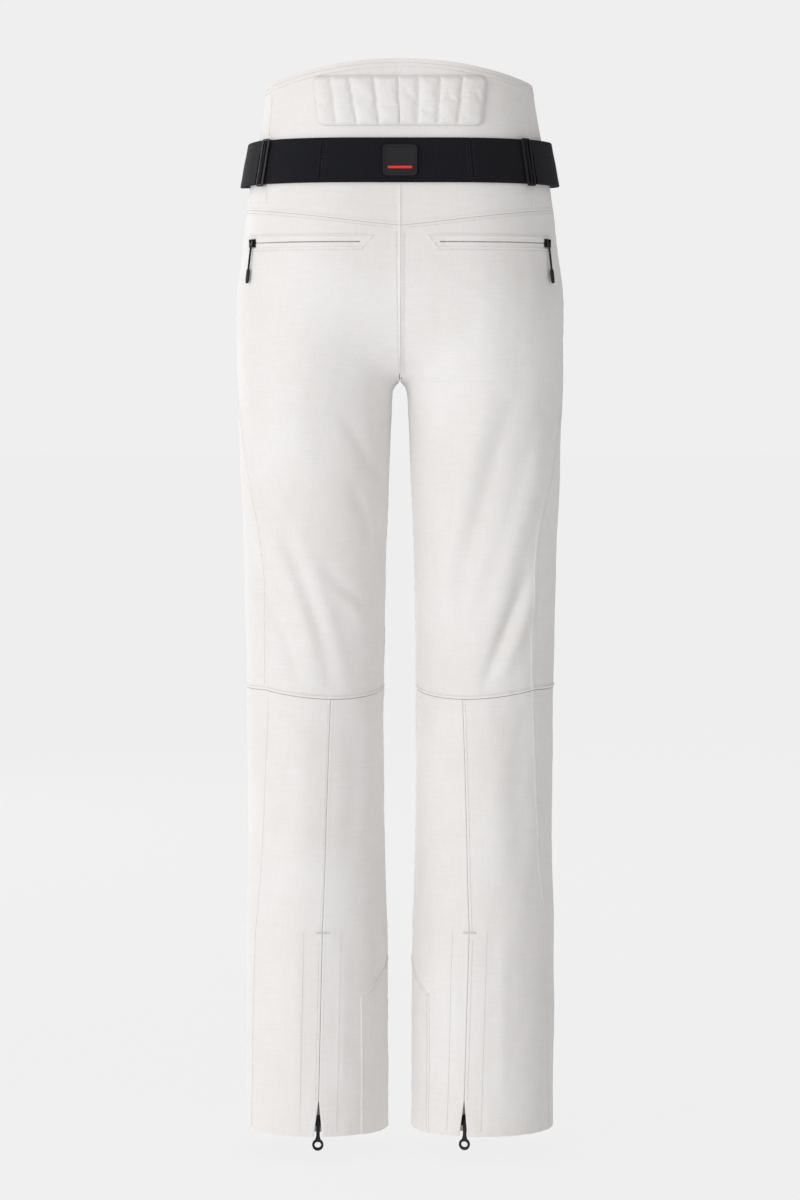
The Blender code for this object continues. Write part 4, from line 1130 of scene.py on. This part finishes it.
def straight_place(start, end, out):
    start, end, out = [np.array(v, float) for v in (start, end, out)]
    length = float(np.linalg.norm(start - end))
    up = (start - end) / length
    across = np.cross(out, up)
    across /= np.linalg.norm(across)
    out = np.cross(up, across)

    def place(along, over, rise):
        return end + along[..., None] * up + over[..., None] * across + rise[..., None] * out

    return place, length


def fly_zip():
    ends = [(0, -read_at(front_depth, z) - FLUSH_LEVEL, z) for z in (FLY_ZIP_TOP_Z, FLY_ZIP_BOTTOM_Z)]
    zip_ribbon("fly_zip", *straight_place(*ends, (0, -1, 0)), ZIP_WIDTH)


def ankle_zip(side):
    seam = calf_seam(side)
    top, bottom = ANKLE_ZIP_TOP_Z + 0.004, HEM_Z + 0.004
    start, end = (surface(side, seam(z), z, ANKLE_ZIP_LEVEL) for z in (np.array(top), np.array(bottom)))
    turn = math.radians(read_at(seam, (top + bottom) / 2))
    out = (SIDES[side] * math.sin(turn), math.cos(turn), 0)
    zip_ribbon(f"ankle_zip_{side}", *straight_place(start, end, out), ANKLE_ZIP_WIDTH)


def zip_welt(name, length, locate, slant, flip):
    """Two cloth lips over a zip, in a raised frame. locate(along, across, rise) gives points."""
    half = np.array([WELT_HALF, 0.0066, 0.0061, 0.0056, 0.0050, 0.0044, 0.0032, 0.0020, 0.0011, 0.0006])
    across = np.concatenate([-half, half[::-1]])
    edge = np.array([0.0, 0.0005, 0.0010, 0.0016, 0.0024])
    first, last, inset = -0.0052, length + 0.0032, 0.0012
    middle = np.linspace(0.0012, length - 0.0014, int(length / 0.002))
    along = np.concatenate([first + edge, middle, last - edge[::-1]])
    grid_w, grid_l = np.meshgrid(across, along, indexing="ij")
    end_gap = np.minimum(np.abs(grid_l - first - inset), np.abs(last - inset - grid_l))
    frame_gap = np.minimum(np.abs(np.abs(grid_w) - (WELT_HALF - inset)), end_gap)
    rise = 0.00002 + 0.0008 * bump(frame_gap, 0.0007)
    outside = np.minimum(WELT_HALF - np.abs(grid_w), np.minimum(grid_l - first, last - grid_l))
    rise = np.where(outside < 0.0003, 0.0001, rise)
    rise = np.where(np.abs(grid_w) < 0.0007, -0.00012, rise)
    # The inner end of the frame is cut on a slant.
    place_l = grid_l - slant * grid_w * np.clip(1 - (grid_l - first) / 0.014, 0, 1)
    outer, inner = locate(place_l, grid_w, rise), locate(place_l, grid_w, -0.00034 + 0 * rise)
    present = np.ones((len(across) - 1, len(along) - 1), bool)
    present[len(half) - 1, 6:-6] = False
    slab(name, outer, inner, (place_l, grid_w), flip, "shell", present=present)


def pocket_welt(side):
    first, last = POCKET_ZIP_ANGLES
    track, radius = zip_track(side)

    def locate(along, across, rise):
        angle, z = first + np.degrees(along / radius), POCKET_Z + across
        on_cloth = surface(side, angle, z, rise + folds(side, angle, z, surface(side, angle, z)))
        under_slider = smoothstep(0.0055, 0.0095, along) * (1 - smoothstep(0.0046, 0.0060, np.abs(across)))
        return on_cloth + (track(along, across, rise) - on_cloth) * under_slider[..., None]

    zip_welt(f"pocket_welt_{side}", math.radians(last - first) * radius, locate, 0.72, side == "left")


def fly_welt():
    top = FLY_ZIP_TOP_Z - 0.004

    def locate(along, across, rise):
        return centre_point(across, top - along, -1, rise)

    zip_welt("fly_welt", top - FLY_ZIP_BOTTOM_Z, locate, 0.0, True)


# Belt, clasp and waist tab.


def band(name, side, angles, level, nodes=(), drop=0.0, body="trousers", thickness=WEBBING,
         height=BELT_HEIGHT, ribs=0.00010):
    """Woven webbing with thin rounded selvedges. level is its inner face at each angle, drop its sag."""
    edge = np.array([0.0, 0.0005, 0.0012, 0.0022])
    rows = np.concatenate([edge, np.linspace(0.0034, height - 0.0034, 11), height - edge[::-1]])
    level, drop = (np.broadcast_to(value, angles.shape)[:, None] for value in (level, drop))
    grid_a, grid_r = np.meshgrid(angles, rows, indexing="ij")
    inset = np.minimum(grid_r, height - grid_r)
    round_off = 0.45 * thickness * (1 - smoothstep(0.0, 0.0014, inset)) ** 2
    ribbing = ribs * np.cos(2 * np.pi * grid_r / 0.0046) * smoothstep(0.001, 0.004, inset)
    z = BELT_MIDDLE_Z + height / 2 - grid_r - drop
    outer = surface(side, grid_a, z, level + thickness - round_off + ribbing)
    inner = surface(side, grid_a, z, level + round_off * 0.6)
    u = np.radians(grid_a) * leg_radius(z)
    slab(name, outer, inner, (u, z), side == "right", "webbing", nodes, body)


def belt(side):
    seam = BELT_SEAM[side]
    angles = np.linspace(read_at(back_centre, 0.0), seam, 28)
    band(f"belt_elastic_webbing_{side}", side, angles, BELT_LEVEL, ("belt_elastic",))
    # The side band laps under the elastic's end and shows a small step at the seam.
    angles = np.linspace(seam + 0.3, 100, 60)
    lap = BELT_LEVEL - 0.0004 * (1 - smoothstep(seam + 0.3, seam + 1.6, angles))
    band(f"belt_band_webbing_{side}", side, angles, lap, (f"belt_band_{side}",))
    belt_strap(side)
    glide_loop(side)
    lines = []
    z = down(BELT_TOP_Z - 0.002, BELT_BOTTOM_Z + 0.002)
    for across in (-0.0042, -0.0012, 0.0024):
        angle = seam + np.degrees(across / leg_radius(0 * z))
        lines.append((surface(side, angle, z, BELT_LEVEL + WEBBING), outward(side, angle, z)))
    stitch(f"belt_seam_stitches_{side}", lines, "black_thread")


def belt_strap(side):
    """The strap from the glide to the clasp, which stands off the hip and settles on the front."""
    first = GLIDE_ANGLE[side] + 4.6
    angles = np.linspace(first, float(angle_at_x(CLASP_HALF + STRAP_END_GAP, 0.0, -1)), 96)
    stand_off = bump(angles - 86, 13) * smoothstep(first, first + 9, angles)
    settle = smoothstep(102, 116, angles)
    level = STRAP_LEVEL + (BELT_LEVEL - STRAP_LEVEL) * settle + 0.0040 * stand_off
    band(f"belt_strap_webbing_{side}", side, angles, level, (f"belt_strap_{side}",),
         STRAP_DROOP[side] * stand_off)


def glide_loop(side):
    """Webbing through the tri-glide: under the frame, up over the middle bar and down again."""
    at = np.linspace(-0.0062, 0.0062, 33)
    over = 1 - smoothstep(0.0008, 0.0030, np.abs(at))
    angles = GLIDE_ANGLE[side] + np.degrees(at / (read_at(leg_radius, 0.0) + STRAP_LEVEL))
    band(f"glide_loop_{side}", side, angles, STRAP_LEVEL - 0.0004 + 0.0027 * over,
         body=f"tri_glide_{side}", thickness=0.0004, height=0.965 * BELT_HEIGHT, ribs=0.0)


def clasp_ribs():
    """Finger ribs moulded on both halves of the front clasp."""
    origin, up, out = front_frame(lambda z: -depth_at_x(0.0, z, -1, CLASP_LEVEL), 0.0)
    places = np.array([0.0300, 0.0272, 0.0244, 0.0216, 0.0188])
    for name, body, sign in (("clasp_hook_ribs", "clasp_hook", -1), ("clasp_base_ribs", "trousers", 1)):
        middle = origin + sign * places[:, None] * ACROSS + out * (CLASP_PLATE + 0.0001)
        half = up * 0.0135
        capsules(name, middle - half, middle + half, out, (0.0014, 0.0012), "buckle", body)


def waist_tab():
    """Fabric tab over the top of the fly, with a rounded end, a rolled rim and a line of stitches."""
    half, height, corner, level, thickness = 0.022, 0.0175, 0.007, 0.0019, 0.0016
    origin, up, out = front_frame(front_depth, 0.0355)
    s, t = np.meshgrid(np.linspace(-1, 1, 45), np.linspace(-1, 1, 21), indexing="ij")
    end = np.maximum(-s * half - (half - corner), 0) / corner
    narrow = np.sqrt(np.maximum(1 - 0.75 * end**2, 0.05))
    x, w = s * half, t * height / 2 * narrow
    inset = np.minimum(height / 2 * narrow - np.abs(w), half - np.abs(x))
    rim = np.abs(0.0005 * (1 - smoothstep(0.0, 0.0008, inset)) - 0.0002 * bump(inset - 0.0022, 0.0006))

    def place(x, w, rise):
        return origin + x[..., None] * ACROSS + w[..., None] * up + rise[..., None] * out

    slab("waist_tab_cloth", place(x, w, level + thickness - rim), place(x, w, level + rim * 0.5), (x, w),
         False, "shell", ("waist_tab",), "waist_tab")
    run = np.linspace(-half + 0.004, half - 0.0025, 24)
    narrowed = np.where(run < -0.015, 0.8, 1) * (height / 2 - 0.0022)
    lift = np.full(24, level + thickness - 0.0002)
    paths = [(place(run, edge * narrowed, lift), np.tile(out, (24, 1))) for edge in (-1, 1)]
    stitch("waist_tab_stitches", paths, body="waist_tab")


# Quilted lumbar pad.


def pad_lines(z):
    """How far across each sewn line is at these heights."""
    share = (z - PAD_BOTTOM_Z) / (PAD_TOP_Z - PAD_BOTTOM_Z)
    return [low + (high - low) * share for high, low in zip(PAD_LINE_TOPS, PAD_LINE_BOTTOMS)]


def lumbar_pad():
    """Padded channels between sewn lines, pressed out by a cloth simulation."""
    u, v = np.linspace(-1, 1, 133)[:, None], np.linspace(0, 1, 41)[None, :]
    height = PAD_TOP_Z - PAD_BOTTOM_Z
    z = PAD_BOTTOM_Z + height * v + 0 * u
    # The corners are rounded by drawing the outermost columns in near the top and the bottom.
    corner = np.maximum(PAD_CORNER - np.minimum(v, 1 - v) * height, 0)
    draw_in = PAD_CORNER - np.sqrt(np.maximum(PAD_CORNER**2 - corner**2, 0))
    half = PAD_BOTTOM_HALF + (PAD_TOP_HALF - PAD_BOTTOM_HALF) * v - draw_in
    x = u * half
    side_gap, end_gap = (1 - np.abs(u)) * half, np.minimum(z - PAD_BOTTOM_Z, PAD_TOP_Z - z)
    border = np.minimum(side_gap, end_gap)
    gaps = np.abs(np.stack([x - line for line in pad_lines(z)]))
    nearest = np.minimum(gaps.min(axis=0), side_gap)
    puff = 1 - np.exp(-((nearest / 0.0021) ** 1.3))
    crumple = 0.00022 * ripple(x, z * 0.7, 21, 0.022) * puff
    rise = 0.0010 + smoothstep(0.0, 0.0036, border) * (0.0006 + 0.0026 * puff) + crumple
    outer, inner = centre_point(x, z, 1, PAD_CLEARANCE + rise), centre_point(x, z, 1, PAD_CLEARANCE)
    held = (nearest < 0.0009) | (border < 0.0016)
    held = np.concatenate([held.T.ravel(), np.ones(held.size, bool)])
    pad = slab("lumbar_pad_quilt", outer, inner, None, True, "pad", ("lumbar_pad",), sharp=180)
    inflate(pad, held, 0.0008)
    quilt_stitches()


def inflate(obj, held, most):
    """Cloth pressed out by its wadding between held seams, applied, and capped at most."""
    mesh, scene = obj.data, bpy.context.scene
    before = np.array([v.co for v in mesh.vertices])
    group = obj.vertex_groups.new(name="held")
    group.add([int(i) for i in np.flatnonzero(held)], 1.0, "REPLACE")
    wadding = obj.modifiers.new("wadding", "CLOTH")
    for key, value in WADDING.items():
        setattr(wadding.settings, key, value)
    wadding.settings.vertex_group_mass = "held"
    wadding.settings.effector_weights.gravity = 0
    for number in range(1, 21):
        scene.frame_set(number)
    evaluated = obj.evaluated_get(bpy.context.evaluated_depsgraph_get())
    after = np.array([v.co for v in evaluated.to_mesh().vertices])
    evaluated.to_mesh_clear()
    scene.frame_set(1)
    obj.modifiers.remove(wadding)
    obj.vertex_groups.clear()
    moved = np.nan_to_num(after - before)
    length = np.linalg.norm(moved, axis=1, keepdims=True)
    moved *= np.minimum(1, most / np.maximum(length, 1e-9))
    mesh.vertices.foreach_set("co", (before + moved).astype(np.float32).ravel())
    mesh.update()


def quilt_stitches():
    z = down(PAD_BOTTOM_Z + 0.003, PAD_TOP_Z - 0.003)
    lines = [(x, z, 0.0020) for x in pad_lines(z)]
    ends = ((PAD_TOP_Z - 0.0014, PAD_TOP_HALF - 0.006), (PAD_BOTTOM_Z + 0.0014, PAD_BOTTOM_HALF - 0.006))
    for row, half in ends:
        lines.append((np.linspace(-half, half, 90), np.full(90, row), 0.0014))
    paths = []
    for x, z, rise in lines:
        normals = np.tile([0.0, 1.0, 0.0], (len(z), 1))
        paths.append((centre_point(x, z, 1, PAD_CLEARANCE + rise), normals))
    stitch("quilt_stitches", paths, length=0.0018, pitch=0.0029)


# The studio.


def studio():
    world = bpy.data.worlds.new("studio")
    bpy.context.scene.world = world
    world.use_nodes = True
    light_world(world.node_tree)
    bpy.context.scene.view_settings.view_transform = "Standard"
    lamp("key", (2.9, 3.5, 0.15), 1.6, 66.0)
    lamp("front_key", (2.4, -3.4, 0.2), 2.0, 50.0)
    mesh = bpy.data.meshes.new("floor")
    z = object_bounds()[0][2] - 0.012
    corners = [(x * FLOOR_REACH, y * FLOOR_REACH, z) for x, y in ((-1, -1), (1, -1), (1, 1), (-1, 1))]
    mesh.from_pydata(corners, [], [(0, 1, 2, 3)])
    floor = bpy.data.objects.new("floor", mesh)
    bpy.context.scene.collection.objects.link(floor)
    paper, tree, shader = new_material("paper")
    place = add_node(tree, "ShaderNodeTexCoord").outputs["Generated"]
    tint = mixed_colour(tree, noise_at(tree, place, 2.0), (0.05, 0.05, 0.05), (0.055, 0.055, 0.055))
    tree.links.new(tint, shader.inputs["Base Color"])
    fill(shader, Roughness=0.95, Specular_IOR_Level=0.0, Emission_Color=(PALE, PALE, PALE, 1),
         Emission_Strength=0.96)
    floor.data.materials.append(paper)
    floor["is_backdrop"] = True


def light_world(tree):
    """A pale studio all round that lights more from the left than from the right."""
    shown = fill(tree.nodes["Background"], Color=(PALE, PALE, PALE, 1))
    heading = add_node(tree, "ShaderNodeTexCoord").outputs["Generated"]
    slope = add_node(tree, "ShaderNodeVectorMath", heading, operation="DOT_PRODUCT")
    slope.inputs[1].default_value = (0.85, 0.30, 0.25)
    level = add_node(tree, "ShaderNodeMapRange", slope.outputs["Value"], "Value", From_Min=-0.9,
                     From_Max=0.9, To_Min=0.26, To_Max=0.78)
    soft = add_node(tree, "ShaderNodeBackground", level.outputs[0], "Strength", Color=(1.0, 0.985, 0.968, 1))
    seen = add_node(tree, "ShaderNodeLightPath").outputs["Is Camera Ray"]
    mix = add_node(tree, "ShaderNodeMixShader", seen)
    tree.links.new(soft.outputs[0], mix.inputs[1])
    tree.links.new(shown.outputs[0], mix.inputs[2])
    tree.links.new(mix.outputs[0], tree.nodes["World Output"].inputs["Surface"])


def aimed(name, data, place, target):
    """A lamp or camera at a place, turned to a target."""
    obj = bpy.data.objects.new(name, data)
    obj.location = place
    obj.rotation_euler = (Vector(target) - Vector(place)).to_track_quat("-Z", "Y").to_euler()
    bpy.context.scene.collection.objects.link(obj)
    return obj


def lamp(name, place, size, power):
    light = bpy.data.lights.new(name, "AREA")
    light.shape = "DISK"
    light.size = size
    light.energy = power
    aimed(name, light, place, LAMP_TARGET)


def camera():
    data = bpy.data.cameras.new("camera")
    data.lens = 124.0
    data.sensor_width = 36.0
    data.clip_end = 200.0
    bpy.context.scene.camera = aimed("camera", data, CAMERA_PLACE, CAMERA_TARGET)


def build():
    camera()
    studio()
    hand_over_cad_materials()
    for side in SIDES:
        for make in (back_thigh, shell_panels, lining, pocket_bag, snow_gaiter, belt, pocket_zip,
                     pocket_welt, ankle_zip, panel_stitches, pocket_stitches, bartack):
            make(side)
    fly_zip()
    fly_welt()
    fly_stitches()
    clasp_ribs()
    waist_tab()
    lumbar_pad()


build()
